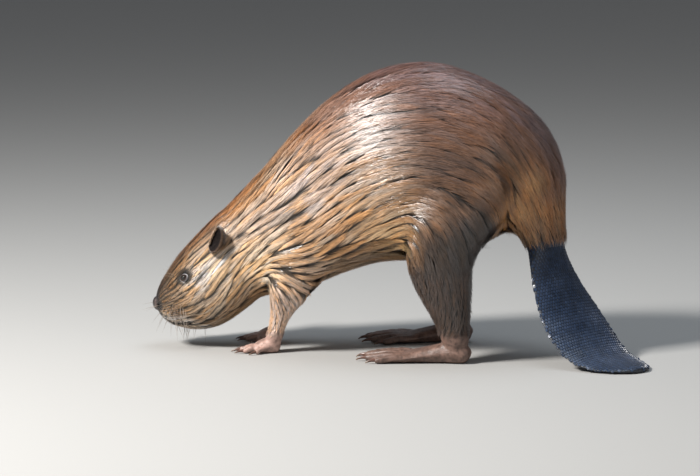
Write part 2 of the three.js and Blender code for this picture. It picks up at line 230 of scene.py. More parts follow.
# How far the skin lies under the coat's tips (mm), and how much its flesh is smoothed.
COAT_DEPTH = {"head": 3.0, "nose": 0.4, "neck": 6.0, "chest": 7.0, "loins": 7.0, "rump": 7.0,
              "tail_root": 4.5, "tail_near": 1.0, "tail_middle": 1.0, "tail_tip": 1.0, "upper_arm": 6.0,
              "forearm": 3.4, "forefoot": 0.6, "thigh": 7.0, "shank": 4.6, "hindfoot": 0.6}
FLESH_SMOOTH = {"head": 0.9, "nose": 0.3, "forearm": 0.9, "shank": 0.9, "forefoot": 0.22,
                "hindfoot": 0.25, "tail_near": 0.6, "tail_middle": 0.45, "tail_tip": 0.25}


def by_part(table, usual):
    return np.array([table.get(name, usual) for name in PLAIN_NAMES])


def ease(near, far, x):
    """A smooth step: 1 at near and past it, 0 at far and past it, whichever is the larger."""
    t = np.clip((x - far) / (near - far), 0, 1)
    return t * t * (3 - 2 * t)


def gap_to(points, place):
    return np.linalg.norm(points - np.array(place), axis=1)


# The flesh is smoothed and sunk under the coat. The muzzle and the rims of the eyes, where the
# coat is shortest, keep nearly their full shape.
SMOOTH_ROUNDS = 26
nose_place = np.array(middle("nose"))
eye_places = [np.array(middle("eye_left")), np.array(middle("eye_right"))]
places, edges = read_places(skin), read_edges(skin)
part_of = parts_at(places)
smoothing = spread(by_part(FLESH_SMOOTH, 1.0)[part_of], edges, 6)
smoothing *= 1 - 0.9 * ease(0.03, 0.07, gap_to(places, nose_place))
places = spread(places, edges, SMOOTH_ROUNDS, smoothing)
depth = spread(by_part(COAT_DEPTH, 6.0)[part_of] / 1000, edges, 14)
depth -= (depth - 0.0008) * ease(0.02, 0.06, gap_to(places, nose_place))
for eye in eye_places:
    depth -= (depth - 0.0011) * ease(0.010, 0.026, gap_to(places, eye))


def quad_normals(places, obj):
    """Corner normals of an all-quad mesh."""
    quads = read(obj.data.polygons, "vertices", 4, int)
    first, second, third, fourth = (places[quads[:, k]] for k in range(4))
    return at_corners(places, quads, np.cross(third - first, fourth - second))


outward = unit(spread(quad_normals(places, skin), edges, 3))
places = places - outward * depth[:, None]
places = spread(places, edges, 3, smoothing)

# The head's own frame: forwards along the muzzle, across to its right, and up.
head_ahead = unit(nose_place - np.array(middle("neck")))
head_across = unit(eye_places[1] - eye_places[0])
head_up = unit(np.cross(head_ahead, head_across))
head_up = head_up if head_up[2] > 0 else -head_up


def on_head(points):
    """Millimetres ahead of the nose, to the head's right of its middle, and above the nose."""
    away = (points - nose_place) * 1000
    return np.stack([away @ head_ahead, away @ head_across, away @ head_up], 1)


skin.data.vertices.foreach_set("co", places.reshape(-1))
skin.data.update()

# Plain furred parts are thinned to fewer faces, and the muzzle, feet and tail keep theirs.
FINE_PARTS = {"head": 0.75, "nose": 1.0, "forefoot": 0.9, "hindfoot": 0.85, "tail_near": 0.5,
              "tail_middle": 0.5, "tail_tip": 0.8}
keep = spread(by_part(FINE_PARTS, 0.0)[part_of], edges, 4)
thin = skin.vertex_groups.new(name="thin")
for level in range(11):
    chosen = np.nonzero(np.round((1 - keep) * 10).astype(int) == level)[0]
    thin.add(chosen.tolist(), level / 10, "REPLACE")
only(skin)
thinner = skin.modifiers.new("thinner", "DECIMATE")
thinner.ratio = SKIN_TRIS / (2 * len(skin.data.polygons))
thinner.vertex_group = "thin"
thinner.vertex_group_factor = 2.0
bpy.ops.object.modifier_apply(modifier="thinner")
skin.vertex_groups.clear()
bpy.ops.object.shade_smooth()

# The muzzle and the rims of the eyes are cut finer, for their folds.
centres = read(skin.data.polygons, "center", 3)
MUZZLE_FINE, EYE_FINE = 0.047, 0.016  # how far the finer skin reaches from each
fine = gap_to(centres, nose_place + (-head_ahead * 8 - head_up * 22) / 1000) < MUZZLE_FINE
for eye in eye_places:
    fine |= gap_to(centres, eye) < EYE_FINE
bpy.ops.object.mode_set(mode="EDIT")
bpy.ops.mesh.select_mode(type="FACE")
bpy.ops.mesh.select_all(action="DESELECT")
bpy.ops.object.mode_set(mode="OBJECT")
skin.data.polygons.foreach_set("select", fine)
bpy.ops.object.mode_set(mode="EDIT")
bpy.ops.mesh.subdivide(number_cuts=1)
bpy.ops.mesh.select_all(action="SELECT")
bpy.ops.mesh.quads_convert_to_tris()
bpy.ops.object.mode_set(mode="OBJECT")
bpy.ops.object.shade_smooth()

# Swellings of the face, each (ahead, aside, above, reach, height) in millimetres, and its
# creases: a groove through places on the head, with its reach and depth.
FACE_FORMS = {
    "lip_pad": (-8, 13, -24, 17, 2.2),
    "lip_edge": (-6, 9, -40, 9, 1.0),
    "chin": (-22, 0, -58, 14, 1.4),
    "cheek_bone": (-52, 42, -2, 22, 1.8),
    "brow": (-45, 28, 26, 12, 1.6),
    "eye_hollow": (-28, 27, 12, 11, -1.3),
    "bridge_dip": (-20, 0, 14, 16, -0.8),
    "nostril_rim": (1, 19.5, 0, 9, 1.2),
    "nostril": (1.5, 20, 0, 4.8, -4.2),
}
FACE_CREASES = {
    "mouth": ([(7, 0, -29), (5, 12, -31), (-2, 22, -36), (-14, 29, -43.5), (-24, 32.6, -50)], 3.2, 2.4),
    "philtrum": ([(9, 0, -12), (7, 0, -29)], 2.6, 1.5),
    "nose_wing": ([(-2, 21, 0), (-1, 18, -11), (5, 8, -15), (8, 0, -14)], 2.4, 0.9),
}


def one_side(facing):
    """Places on the head, all brought to the same side of its middle."""
    return np.abs(facing * (0, 1, 0)) + facing * (1, 0, 1)


def crease_gap(facing, line):
    """How far each place on the head is from a crease, in millimetres, on either side alike."""
    points = one_side(facing)
    best = np.full(len(points), 1e9)
    for a, b in zip(line, line[1:]):
        a, b = np.array(a, float), np.array(b, float)
        t = np.clip((points - a) @ (b - a) / ((b - a) @ (b - a)), 0, 1)
        best = np.minimum(best, np.linalg.norm(points - a - t[:, None] * (b - a), axis=1))
    return best


places, edges, skin_tris = read_places(skin), read_edges(skin), read_tris(skin)
outward = unit(spread(corner_normals(places, skin_tris), edges, 2))
facing = on_head(places)
for ahead, aside, above, reach, height in FACE_FORMS.values():
    gap = np.linalg.norm(one_side(facing) - (ahead, aside, above), axis=1)
    places += outward * (height / 1000 * ease(0, reach, gap))[:, None]
for line, reach, cut in FACE_CREASES.values():
    places -= outward * (cut / 1000 * ease(0, reach, crease_gap(facing, line)))[:, None]
skin.data.vertices.foreach_set("co", places.reshape(-1))
skin.data.update()

# ---- the lie of the coat, its tints and its unwrap, worked out at every corner of the skin
places, edges, skin_tris = read_places(skin), read_edges(skin), read_tris(skin)
skin_normals = corner_normals(places, skin_tris)
part_of = parts_at(places)

# The spine is a smooth curve through the middles of the body's parts, with equal steps
# between each two of them.
SPINE_STEPS = 24
spine_knots = [np.array(middle(name)) for name in SPINE_PARTS]
spine = []
for i in range(len(spine_knots) - 1):
    a, b, c, d = (spine_knots[min(max(k, 0), len(spine_knots) - 1)] for k in (i - 1, i, i + 1, i + 2))
    for f in np.linspace(0, 1, SPINE_STEPS, endpoint=False):
        spine.append(b + 0.5 * f * (c - a + f * (2 * a - 5 * b + 4 * c - d + f * (3 * (b - c) + d - a))))
spine = np.array(spine + [spine_knots[-1]])
spine_way = unit(np.gradient(spine, axis=0))
spine_run = np.concatenate([[0], np.cumsum(np.linalg.norm(np.diff(spine, axis=0), axis=1))])


def run_past(part, steps):
    """How far along the spine a place is that lies so many steps past the middle of a part."""
    return spine_run[SPINE_PARTS.index(part) * SPINE_STEPS + steps]


def along_spine(points):
    """For each point: the nearest place on the spine, and the angle round it from the belly."""
    nearest = np.concatenate([((block[:, None] - spine[None]) ** 2).sum(2).argmin(1)
                              for block in np.array_split(points, max(1, len(points) // 8000))])
    way = spine_way[nearest]
    up = unit(np.array([0, 0, 1.0]) - way * way[:, 2:3])
    aside = np.cross(way, up)
    off = points - spine[nearest]
    return nearest, np.arctan2((off * aside).sum(1), -(off * up).sum(1))


def leg_number(node, name):
    """0 and 1 for the left and right foreleg, 2 and 3 for the hind legs, -1 off the legs."""
    if name not in LEG_PARTS:
        return -1
    return ("left", "right").index(node.split("_")[-1]) + 2 * (name in LEG_PARTS[3:])


leg_of = np.array([leg_number(node, name) for node, name in zip(FLESH, PLAIN_NAMES)])
leg_middles = []
for top, end in (("upper_arm", "forefoot"), ("thigh", "shank")):
    for side in ("left", "right"):
        leg_middles.append((np.array(middle(top + "_" + side)) + np.array(middle(end + "_" + side))) / 2)


def unwrapped(points, parts):
    """A place on the flat map of the skin: the body above, and the four legs in a row below it."""
    nearest, round_it = along_spine(points)
    flat = np.stack([0.01 + 0.98 * spine_run[nearest] / spine_run[-1],
                     0.36 + 0.62 * (round_it / (2 * math.pi) + 0.5)], 1)
    for k in range(4):
        mine = leg_of[parts] == k
        off = points[mine] - leg_middles[k]
        turn = np.arctan2(off[:, 1], off[:, 0]) / (2 * math.pi) + 0.5
        flat[mine] = np.stack([(k + 0.05 + 0.9 * turn) / 4,
                               0.02 + 0.30 * np.clip(points[mine][:, 2] / 0.32, 0, 1)], 1)
    return flat


nearest, round_it = along_spine(places)
run_here = spine_run[nearest]
round_here = np.degrees(np.abs(round_it))
knot_runs = spine_run[::SPINE_STEPS]
leg_share = spread((leg_of[part_of] >= 0).astype(float), edges, 10)


def by_place(table):
    """A table's values at every corner of the skin: flowing along the spine, and down each leg."""
    rows = np.array([table[name] for name in SPINE_PARTS], float).reshape(len(SPINE_PARTS), -1)
    trunk = np.stack([np.interp(run_here, knot_runs, column) for column in rows.T], 1)
    legs = np.array([table[name] for name in PLAIN_NAMES], float).reshape(len(PLAIN_NAMES), -1)[part_of]
    return trunk + (spread(legs, edges, 4) - trunk) * leg_share[:, None]


# The coat's slope along the body (degrees, rising towards the tail), and down the legs by height.
LIE_SLOPE = {"nose": 38, "head": 38, "neck": 40, "chest": 38, "loins": 4, "rump": -46, "tail_root": -68,
             "tail_near": -66, "tail_middle": -45, "tail_tip": -20}
FORELEG_SLOPE = ((0.03, -125), (0.06, -90), (0.10, -55), (0.165, -4))  # height, degrees
HIND_LEG_SLOPE = ((0.03, -125), (0.08, -88), (0.16, -72), (0.25, -52))
# It rises steeper along the underside of the front half, and less on the sides of the neck.
under_front = ease(60, 110, round_here) * ease(run_past("chest", 12), run_past("loins", 12), run_here)
neck_side = (ease(85, 120, round_here) * ease(run_past("neck", 18), run_past("chest", 14), run_here)
             * ease(run_past("neck", 2), run_past("head", 6), run_here))
slope = np.radians(np.interp(run_here, knot_runs, [LIE_SLOPE[name] for name in SPINE_PARTS])
                   + 18 * under_front - 20 * neck_side)
lie = np.stack([np.cos(slope), 0 * slope, np.sin(slope)], 1)
lie = unit(lie + spine_way[nearest] * (0, 1, 0))
leg_slope = np.where(leg_of[part_of] < 2, np.interp(places[:, 2], *zip(*FORELEG_SLOPE)),
                     np.interp(places[:, 2], *zip(*HIND_LEG_SLOPE)))
leg_slope = np.radians(leg_slope)
leg_way = np.stack([np.cos(leg_slope), 0 * leg_slope, np.sin(leg_slope)], 1)
lie = unit(lie * (1 - leg_share[:, None]) + leg_way * leg_share[:, None])
from_nose = gap_to(places, nose_place)
muzzle = 0.75 * ease(0.02, 0.13, from_nose)
lie = unit(lie * (1 - muzzle[:, None]) + unit(places - nose_place) * muzzle[:, None])
lie = spread(lie, edges, 8)
lie = unit(lie - skin_normals * (lie * skin_normals).sum(1, keepdims=True))

# How much room the coat has over the skin: as far as the tips reach.
room = np.array([shell.find_nearest(p)[3] for p in places.tolist()])
room = np.clip(spread(room, edges, 3), 0.0004, 0.0095)

# Colours of the coat, soft patches over a base: (part, metres past it along the spine,
# degrees round from the belly, reach along, reach round, strength, colour).
TAIL_LEATHER = (0.02, 0.024, 0.034)
HIDE = {"head": (0.60, 0.39, 0.18), "nose": (0.44, 0.28, 0.14), "neck": (0.62, 0.40, 0.20),
        "chest": (0.52, 0.35, 0.22), "loins": (0.25, 0.14, 0.075), "rump": (0.26, 0.135, 0.065),
        "tail_root": (0.45, 0.22, 0.075), "tail_near": TAIL_LEATHER, "tail_middle": TAIL_LEATHER,
        "tail_tip": TAIL_LEATHER, "upper_arm": (0.72, 0.55, 0.42), "forearm": (0.82, 0.63, 0.50),
        # thigh and shank: dark wet fur, darkened further by painted shade
        "forefoot": (0.36, 0.23, 0.19), "thigh": (0.046, 0.034, 0.027), "shank": (0.072, 0.048, 0.036),
        "hindfoot": (0.15, 0.09, 0.07)}
MARKINGS = [
    ("nose", 0.008, 180, 0.048, 92, 0.98, (0.060, 0.036, 0.024)),
    ("head", -0.020, 170, 0.040, 48, 0.92, (0.10, 0.055, 0.030)),
    ("head", 0.030, 160, 0.040, 40, 0.85, (0.24, 0.13, 0.075)),
    ("nose", 0.045, 60, 0.030, 40, 0.70, (0.50, 0.38, 0.26)),
    # cheek: its own pale fur, lightened further by a painted wet highlight
    ("head", 0.008, 84, 0.046, 30, 0.97, (0.87, 0.83, 0.77)),
    ("head", -0.010, 45, 0.040, 26, 0.60, (0.56, 0.40, 0.24)),
    ("neck", -0.010, 180, 0.085, 52, 0.90, (0.25, 0.105, 0.040)),
    ("neck", 0.000, 100, 0.045, 30, 0.80, (0.52, 0.41, 0.33)),
    ("neck", -0.035, 50, 0.050, 30, 0.80, (0.80, 0.67, 0.50)),
    ("chest", 0.010, 155, 0.060, 22, 0.70, (0.30, 0.13, 0.05)),
    # shoulder: its own pale fur, lightened and greyed by a painted wet highlight
    ("chest", -0.020, 98, 0.060, 30, 0.85, (0.70, 0.61, 0.56)),
    ("chest", 0.045, 60, 0.055, 26, 0.80, (0.60, 0.37, 0.18)),
    # back, in two patches: purple-brown, the purple partly a painted reflection of sky
    ("chest", 0.110, 180, 0.110, 60, 0.92, (0.17, 0.086, 0.062)),
    ("loins", 0.060, 180, 0.150, 66, 0.92, (0.14, 0.080, 0.074)),
    ("loins", -0.070, 80, 0.045, 26, 0.80, (0.50, 0.38, 0.28)),
    ("loins", -0.045, 30, 0.075, 32, 0.80, (0.46, 0.29, 0.11)),
    # haunch: dark wet fur, darkened further by painted shade
    ("loins", 0.052, 76, 0.068, 44, 0.96, (0.060, 0.042, 0.036)),
    # top of the rump: brown greyed and blued by a painted reflection of sky
    ("rump", -0.005, 165, 0.050, 36, 0.85, (0.20, 0.145, 0.145)),
    ("rump", 0.048, 84, 0.055, 38, 0.92, (0.58, 0.30, 0.095)),
    ("rump", 0.050, 10, 0.040, 42, 0.85, (0.86, 0.76, 0.56)),
]
tint = by_place(HIDE)
trunk = 1 - leg_share
for part, past, degrees, reach, reach_round, strength, colour in MARKINGS:
    off = ((run_here - run_past(part, 0) - past) / reach) ** 2 + ((round_here - degrees) / reach_round) ** 2
    weight = (strength * np.exp(-off) * trunk)[:, None]
    tint = tint * (1 - weight) + np.array(colour) * weight

# The face: pale lips; painted shade in the folds, the nostrils and round each eye; bare skin by the nose.
LIP_LINE = [(4, 17, -20), (-5, 23, -34), (-16, 28, -42), (-32, 24, -60), (-40, 0, -68)]
LIP_COLOUR, NOSE_SKIN = (0.95, 0.86, 0.74), (0.070, 0.050, 0.045)
facing = on_head(places)
crease = np.minimum(*(crease_gap(facing, FACE_CREASES[name][0]) for name in ("mouth", "philtrum")))
nostril = np.linalg.norm(one_side(facing) - FACE_FORMS["nostril"][:3], axis=1)
lips = 0.95 * ease(6, 16, crease_gap(facing, LIP_LINE))
tint += (np.array(LIP_COLOUR) - tint) * lips[:, None]
# painted shade: darker in the creases of the mouth and philtrum, in the nostrils, and round each eye
shadow = np.maximum(0.92 * ease(1.8, 3.8, crease), 0.97 * ease(3.2, 4.6, nostril))
for eye in eye_places:
    shadow = np.maximum(shadow, 0.90 * ease(0.0112, 0.0145, gap_to(places, eye)))
    front = eye + head_ahead * 0.0075 + head_up * 0.002
    shadow = np.maximum(shadow, 0.80 * ease(0.0095, 0.0140, gap_to(places, front)))
dark_skin = np.maximum(ease(0.018, 0.026, from_nose), ease(5, 10, nostril))
tint += (np.array(NOSE_SKIN) - tint) * dark_skin[:, None]
tint *= 1 - shadow[:, None]
tail_start = run_past("tail_near", 0) - 0.052  # where the scales begin
on_tail = trunk * ease(tail_start + 0.001, tail_start - 0.005, run_here)
tint += (np.array(TAIL_LEATHER) - tint) * on_tail[:, None]

# How bare the hide is: 1 on the nose, feet and tail.
BARE_PARTS = ("forefoot", "hindfoot", "tail_near", "tail_middle", "tail_tip")
bare = spread(by_part(dict.fromkeys(("nose", *BARE_PARTS), 1.0), 0.0)[part_of], edges, 3)
bare = np.maximum(bare, on_tail)


def put(obj, name, kind, values):
    """Stores a number, a colour or a place at each corner, for the material to read."""
    flat = np.asarray(values, dtype=np.float32)
    if kind == "FLOAT_COLOR":
        flat = np.concatenate([flat, np.ones((len(flat), 1), np.float32)], 1)
    made = obj.data.attributes.new(name, kind, "POINT")
    field = {"FLOAT": "value", "FLOAT_COLOR": "color", "FLOAT_VECTOR": "vector"}[kind]
    made.data.foreach_set(field, flat.reshape(-1))


# The skin takes the coat's colours, darkened where fur shades it.
face_front = ease(0.035, 0.085, from_nose)
underfur = np.maximum(0.055 + 0.045 * face_front, bare)
put(skin, "tint", "FLOAT_COLOR", tint * underfur[:, None])
put(skin, "bare", "FLOAT", bare)
# The fine hairs' own directions: along the spine, and round it.
put(skin, "comb", "FLOAT_VECTOR", np.stack([run_here, round_it * 0.06, round_it * 0], 1))


class Nodes:
    """A material's nodes, made and joined in one call each."""

    def __init__(self, name):
        self.made = bpy.data.materials.new(name)
        self.made.use_nodes = True
        self.tree = self.made.node_tree
        self.shader = self.tree.nodes["Principled BSDF"]
        self.where = self.add("TexCoord").outputs["Object"]

    def add(self, kind, inputs=None, **settings):
        node = self.tree.nodes.new("ShaderNode" + kind)
        for key, value in settings.items():
            setattr(node, key, value)
        for key, value in (inputs or {}).items():
            if isinstance(value, bpy.types.NodeSocket):
                self.tree.links.new(value, node.inputs[key])
            else:
                node.inputs[key].default_value = value
        return node

    def attribute(self, name, output="Fac"):
        return self.add("Attribute", attribute_name=name).outputs[output]

    def cloudy(self, scale, detail, distortion=0.0):
        inputs = {"Vector": self.where, "Scale": scale, "Detail": detail, "Distortion": distortion}
        return self.add("TexNoise", inputs).outputs["Fac"]

    def pebbly(self, scale):
        return self.add("TexVoronoi", {"Vector": self.where, "Scale": scale}).outputs["Distance"]

    def bump(self, strength, depth, height):
        return self.add("Bump", {"Strength": strength, "Distance": depth, "Height": height}).outputs["Normal"]

    def ramp(self, value, stops):
        node = self.add("ValToRGB", {"Fac": value})
        while len(node.color_ramp.elements) < len(stops):
            node.color_ramp.elements.new(0.5)
        for element, (place, colour) in zip(node.color_ramp.elements, stops):
            element.position = place
            element.color = (colour, colour, colour, 1) if isinstance(colour, float) else (*colour, 1)
        return node.outputs["Color"]

    def mix(self, kind, factor, a, b):
        node = self.add("Mix", data_type="RGBA", blend_type=kind)
        for key, value in (("Factor", factor), ("A", a), ("B", b)):
            socket = [i for i in node.inputs if i.name == key and i.enabled][0]
            if isinstance(value, bpy.types.NodeSocket):
                self.tree.links.new(value, socket)
            else:
                socket.default_value = value
        return [o for o in node.outputs if o.enabled][0]

    def give(self, **inputs):
        for key, value in inputs.items():
            socket = self.shader.inputs[key.replace("_", " ")]
            if isinstance(value, bpy.types.NodeSocket):
                self.tree.links.new(value, socket)
            else:
                socket.default_value = value


def hide_material():
    m = Nodes("hide")
    bare = m.attribute("bare")
    mottle = m.cloudy(90.0, 5.0)
    folds = m.cloudy(210.0, 6.0, 0.3)
    comb = m.attribute("comb", "Vector")
    comb = m.add("Mapping", {"Vector": comb, "Scale": (90.0, 1300.0, 1.0)}).outputs["Vector"]
    hair = m.add("TexNoise", {"Vector": comb, "Scale": 1.0, "Detail": 4.0}).outputs["Fac"]
    patchy = m.ramp(mottle, [(0.3, 0.62), (0.7, 1.25)])
    colour = m.mix("MULTIPLY", 1.0, m.attribute("tint", "Color"), patchy)
    # painted shade: the bare skin darkens in the low places of the fold noise that also makes its relief
    crease_shade = m.ramp(folds, [(0.34, 0.62), (0.5, 1.0), (0.68, 1.12)])
    streaky = m.mix("MIX", bare, m.ramp(hair, [(0.35, 0.45), (0.65, 1.35)]), crease_shade)
    colour = m.mix("MULTIPLY", 1.0, colour, streaky)
    relief = m.mix("MIX", bare, hair, m.mix("MIX", 0.55, m.pebbly(620.0), folds))
    rough = m.mix("MIX", bare, (0.75, 0.75, 0.75, 1), m.ramp(mottle, [(0.2, 0.36), (0.8, 0.55)]))
    m.give(Base_Color=colour, Roughness=rough, Normal=m.bump(0.6, 0.0009, relief))
    return m.made


skin.data.materials.clear()
skin.data.materials.append(hide_material())
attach(skin, "root")
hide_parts(*[node for node in FLESH if node != "nose"])


# ------------------------------------------------------------------ coat
# Wet guard hair, clung together in long locks that lie backwards along the body and part in
# dark slits on the cheeks, neck and flanks. Each lock is a band of fine tapered strands, dark
# where they leave the skin and pale towards the tips: the dark roots are partly the hair's own
# colour and partly painted shade, reaching further up the strands at a lock's edges so that the
# slits read dark.

# Each part's strands: length, width, root spacing, lock width (mm), and how far a lock's
# strands draw together.
STRANDS = {"nose": (15, 0.80, 1.65, 5.5, 0.38), "head": (17, 0.80, 1.65, 6.5, 0.41),
           "neck": (32, 1.15, 2.0, 9.0, 0.40), "chest": (36, 1.25, 2.1, 9.5, 0.36),
           "loins": (36, 1.3, 2.2, 10.0, 0.17), "rump": (34, 1.3, 2.2, 10.0, 0.10),
           "tail_root": (20, 1.2, 2.0, 8.0, 0.14), "tail_near": (10, 1.2, 2.0, 6.0, 0.14),
           "tail_middle": (10, 1.2, 2.0, 6.0, 0.2), "tail_tip": (10, 1.2, 2.0, 6.0, 0.2),
           "upper_arm": (26, 1.15, 2.0, 7.0, 0.2), "forearm": (9, 0.8, 1.5, 4.0, 0.12),
           "forefoot": (5, 0.7, 1.5, 3.0, 0.12), "thigh": (30, 1.3, 2.2, 10.0, 0.10),
           "shank": (14, 1.0, 1.8, 5.0, 0.14), "hindfoot": (6, 0.9, 1.8, 3.0, 0.14)}
look = by_place(STRANDS)
length, width, spacing, lock = look.T[:4] / 1000
gather = look[:, 4]

# The coat is short and fine at the muzzle, shorter still on the bridge of the nose and round
# the eyes, where no strand may reach over the ball, and it lies smooth along the back.
on_face = run_here < run_past("neck", 12)
back_from_nose = ease(0.085, 0.008, from_nose)  # 0 at the nose, 1 from the cheeks on
bridge = ease(178, 128, round_here) * ease(0.07, 0.13, from_nose) * on_face
length *= np.where(on_face, 0.28 + 0.72 * back_from_nose, 1.0)
width *= np.where(on_face, 0.62 + 0.45 * back_from_nose, 1.0)
spacing *= np.where(on_face, 0.66 + 0.34 * back_from_nose, 1.0)
lock *= np.where(on_face, 0.5 + 0.5 * back_from_nose, 1.0)
gather *= np.where(on_face, 0.2 + 0.8 * ease(0.035, 0.012, from_nose), 1.0) * (1 - 0.85 * bridge)
length *= 1 - 0.45 * bridge
for eye in eye_places:
    length *= 1 - 0.55 * ease(0.011, 0.030, gap_to(places, eye))
    gather *= 1 - 0.6 * ease(0.012, 0.024, gap_to(places, eye))
    clear = gap_to(places, eye) - 0.0062
    ahead = ((eye - places) * lie).sum(1)
    beside = np.sqrt(np.maximum(gap_to(places, eye) ** 2 - ahead ** 2, 0))
    crosses = (ahead > 0) & (beside < 0.008)
    length = np.where(crosses, np.minimum(length, 0.0012 + 0.85 * np.maximum(clear, 0)), length)
length *= 1 - 0.6 * ease(2.0, 7.0, crease)
smooth_back = ease(178, 118, round_here) * trunk * ease(run_past("neck", 14), run_past("head", 16), run_here)
gather *= 1 - 0.75 * smooth_back
gather += 0.08 * ease(0.0, 0.045, gap_to(places, middle("thigh_left", "rump"))) * trunk

# Where the coat grows: not on the feet, tail, nostrils or mouth line, nor on the eyes.
cover = ease(0.75, 0.3, spread(1 - by_part(dict.fromkeys(BARE_PARTS, 1.0), 0.0)[part_of], edges, 3))
cover *= (1 - ease(1.2, 2.2, crease)) * (1 - ease(5.0, 6.5, nostril))
cover *= ease(1.12, 1.0, np.linalg.norm(facing / (13, 16, 13), axis=1))  # none on the nose pad
ragged = 0.004 * np.array([noise.noise(Vector(place) * 160) for place in places])
cover *= 1 - (1 - leg_share) * ease(tail_start - 0.006, tail_start - 0.014, run_here + ragged)
for eye in eye_places:
    cover *= 1 - ease(0.0064, 0.0070, gap_to(places, eye))

tri_area = np.linalg.norm(np.cross(places[skin_tris[:, 1]] - places[skin_tris[:, 0]],
                                   places[skin_tris[:, 2]] - places[skin_tris[:, 0]]), axis=1) / 2
skin_tree = BVHTree.FromPolygons(places.tolist(), skin_tris.tolist())
rng = np.random.default_rng(19)


def scatter(weight):
    """About one place for each unit of weight, spread over the skin's triangles."""
    total = np.cumsum(weight)
    count = int(total[-1])
    spots = (np.arange(count) + rng.random(count)) / count * total[-1]
    pick = np.minimum(np.searchsorted(total, spots), len(weight) - 1)
    a, b = rng.random((2, count))
    over = a + b > 1
    a[over], b[over] = 1 - a[over], 1 - b[over]
    return pick, np.stack([1 - a - b, a, b], 1)


def at(values, pick, share):
    corners = values[skin_tris[pick]]
    return (corners * share.reshape(share.shape + (1,) * (corners.ndim - 2))).sum(1)


def mean_of(values):
    return values[skin_tris].mean(1)


# ---- lock lines: each runs with the lie of the coat, from half a lock before its middle
LOCK_LONG = 4.6  # a lock's length in the lie, for each unit of its width
LINE_POINTS = 12
lock_pick, lock_share = scatter(tri_area * mean_of(cover / (LOCK_LONG * lock ** 2)))
lock_place = at(places, lock_pick, lock_share)
lock_wide = at(lock, lock_pick, lock_share)
lock_span = lock_wide * LOCK_LONG
tri_lie, tri_normal = unit(mean_of(lie)), unit(mean_of(skin_normals))
swerve = np.radians(rng.normal(0, 3.5, len(lock_place)))


def step_along(points, stride, swing):
    """Moves each point over the skin by its stride, with or against the lie."""
    hits = [skin_tree.find_nearest(p) for p in points.tolist()]
    index = np.array([hit[2] for hit in hits])
    landed = np.array([hit[0] for hit in hits])
    way, out = tri_lie[index], tri_normal[index]
    way = way * np.cos(swing)[:, None] + np.cross(out, way) * np.sin(swing)[:, None]
    return landed, out, landed + way * stride[:, None]


line_start = lock_place
for _ in range(3):
    _, _, line_start = step_along(line_start, -lock_span / 6, swerve)
lock_length = at(length, lock_pick, lock_share)
stride = (lock_span + 1.5 * lock_length) / (LINE_POINTS - 1)
line_places = np.empty((len(lock_place), LINE_POINTS, 3))
line_normals = np.empty_like(line_places)
point = line_start
for k in range(LINE_POINTS):
    line_places[:, k], line_normals[:, k], point = step_along(point, stride, swerve)
line_ways = unit(np.gradient(line_places, axis=1))
for _ in range(2):
    line_normals[:, 1:-1] = (line_normals[:, :-2] + line_normals[:, 1:-1] + line_normals[:, 2:]) / 3
line_normals = unit(line_normals - line_ways * (line_ways * line_normals).sum(2, keepdims=True))
line_sides = np.cross(line_normals, line_ways)

# ---- strands: each root joins the lock whose line passes nearest
root_pick, root_share = scatter(tri_area * mean_of(cover / spacing ** 2))
root = at(places, root_pick, root_share)
lock_tree = KDTree(len(lock_place))
for index, place in enumerate(lock_place.tolist()):
    lock_tree.insert(place, index)
lock_tree.balance()
near_locks = np.array([[hit[1] for hit in lock_tree.find_n(p, 12)] for p in root.tolist()])
off = root[:, None] - lock_place[near_locks]
lock_way = unit(line_ways[:, 2:4].mean(1))
lock_side = np.cross(tri_normal[lock_pick], lock_way)
along_off = (off * lock_way[near_locks]).sum(2)
side_off = (off * lock_side[near_locks]).sum(2)
above_off = (off * tri_normal[lock_pick][near_locks]).sum(2)
facing_same = (tri_normal[root_pick][:, None] * tri_normal[lock_pick][near_locks]).sum(2)
misfit = (along_off / LOCK_LONG) ** 2 + side_off ** 2 + (2 * above_off) ** 2 + (0.03 * (1 - facing_same)) ** 2
lock_of = near_locks[np.arange(len(root)), misfit.argmin(1)]


def on_line(table, which, run):
    """Looks up a lock's line at a distance along it, running straight on past its end."""
    place = run / stride[which]
    low = np.clip(place.astype(int), 0, LINE_POINTS - 2)
    part = place - low
    part = (part if table is line_places else np.clip(part, 0, 1))[:, None]
    return table[which, low] * (1 - part) + table[which, low + 1] * part


start_run = ((root - line_places[lock_of, 0]) * lock_way[lock_of]).sum(1)
start_run = np.clip(start_run, 0, None)
foot = on_line(line_places, lock_of, start_run)
foot_side = on_line(line_sides, lock_of, start_run)
aside = ((root - foot) * foot_side).sum(1)
rest_off = root - foot - foot_side * aside[:, None]
strand_long = at(length, root_pick, root_share) * rng.uniform(0.78, 1.12, len(root))
strand_wide = at(width, root_pick, root_share) * rng.uniform(0.8, 1.2, len(root))
strand_room = at(room, root_pick, root_share)
strand_tint = at(tint, root_pick, root_share)
strand_gather = at(gather, root_pick, root_share) * rng.uniform(0.55, 1.3, len(lock_place))[lock_of]
patchy = np.array([noise.noise(Vector(place) * 16) for place in lock_place])
strand_gather *= np.clip(1 + 0.9 * patchy, 0.35, 1.25)[lock_of]
strand_gather = np.clip(strand_gather, 0.02, 0.85)
lock_tone = rng.normal(0, 1, len(lock_place))[lock_of]
own_tone = rng.normal(0, 1, len(root))
golden = rng.normal(0, 1, len(lock_place))[lock_of] * np.clip(0.15 + 0.8 * strand_gather, 0, 0.36)
golden = 0.5 + golden + 0.25 * rng.normal(0, 1, len(root))
golden = np.clip(golden, 0, 1)[:, None]
strand_hue = golden * np.array([1.12, 0.88, 0.62]) + (1 - golden) * np.array([1.0, 1.1, 1.3])
splay = np.tan(np.radians(rng.normal(0, 1.6, len(root))))
lift = rng.uniform(0.8, 1.0, len(root))
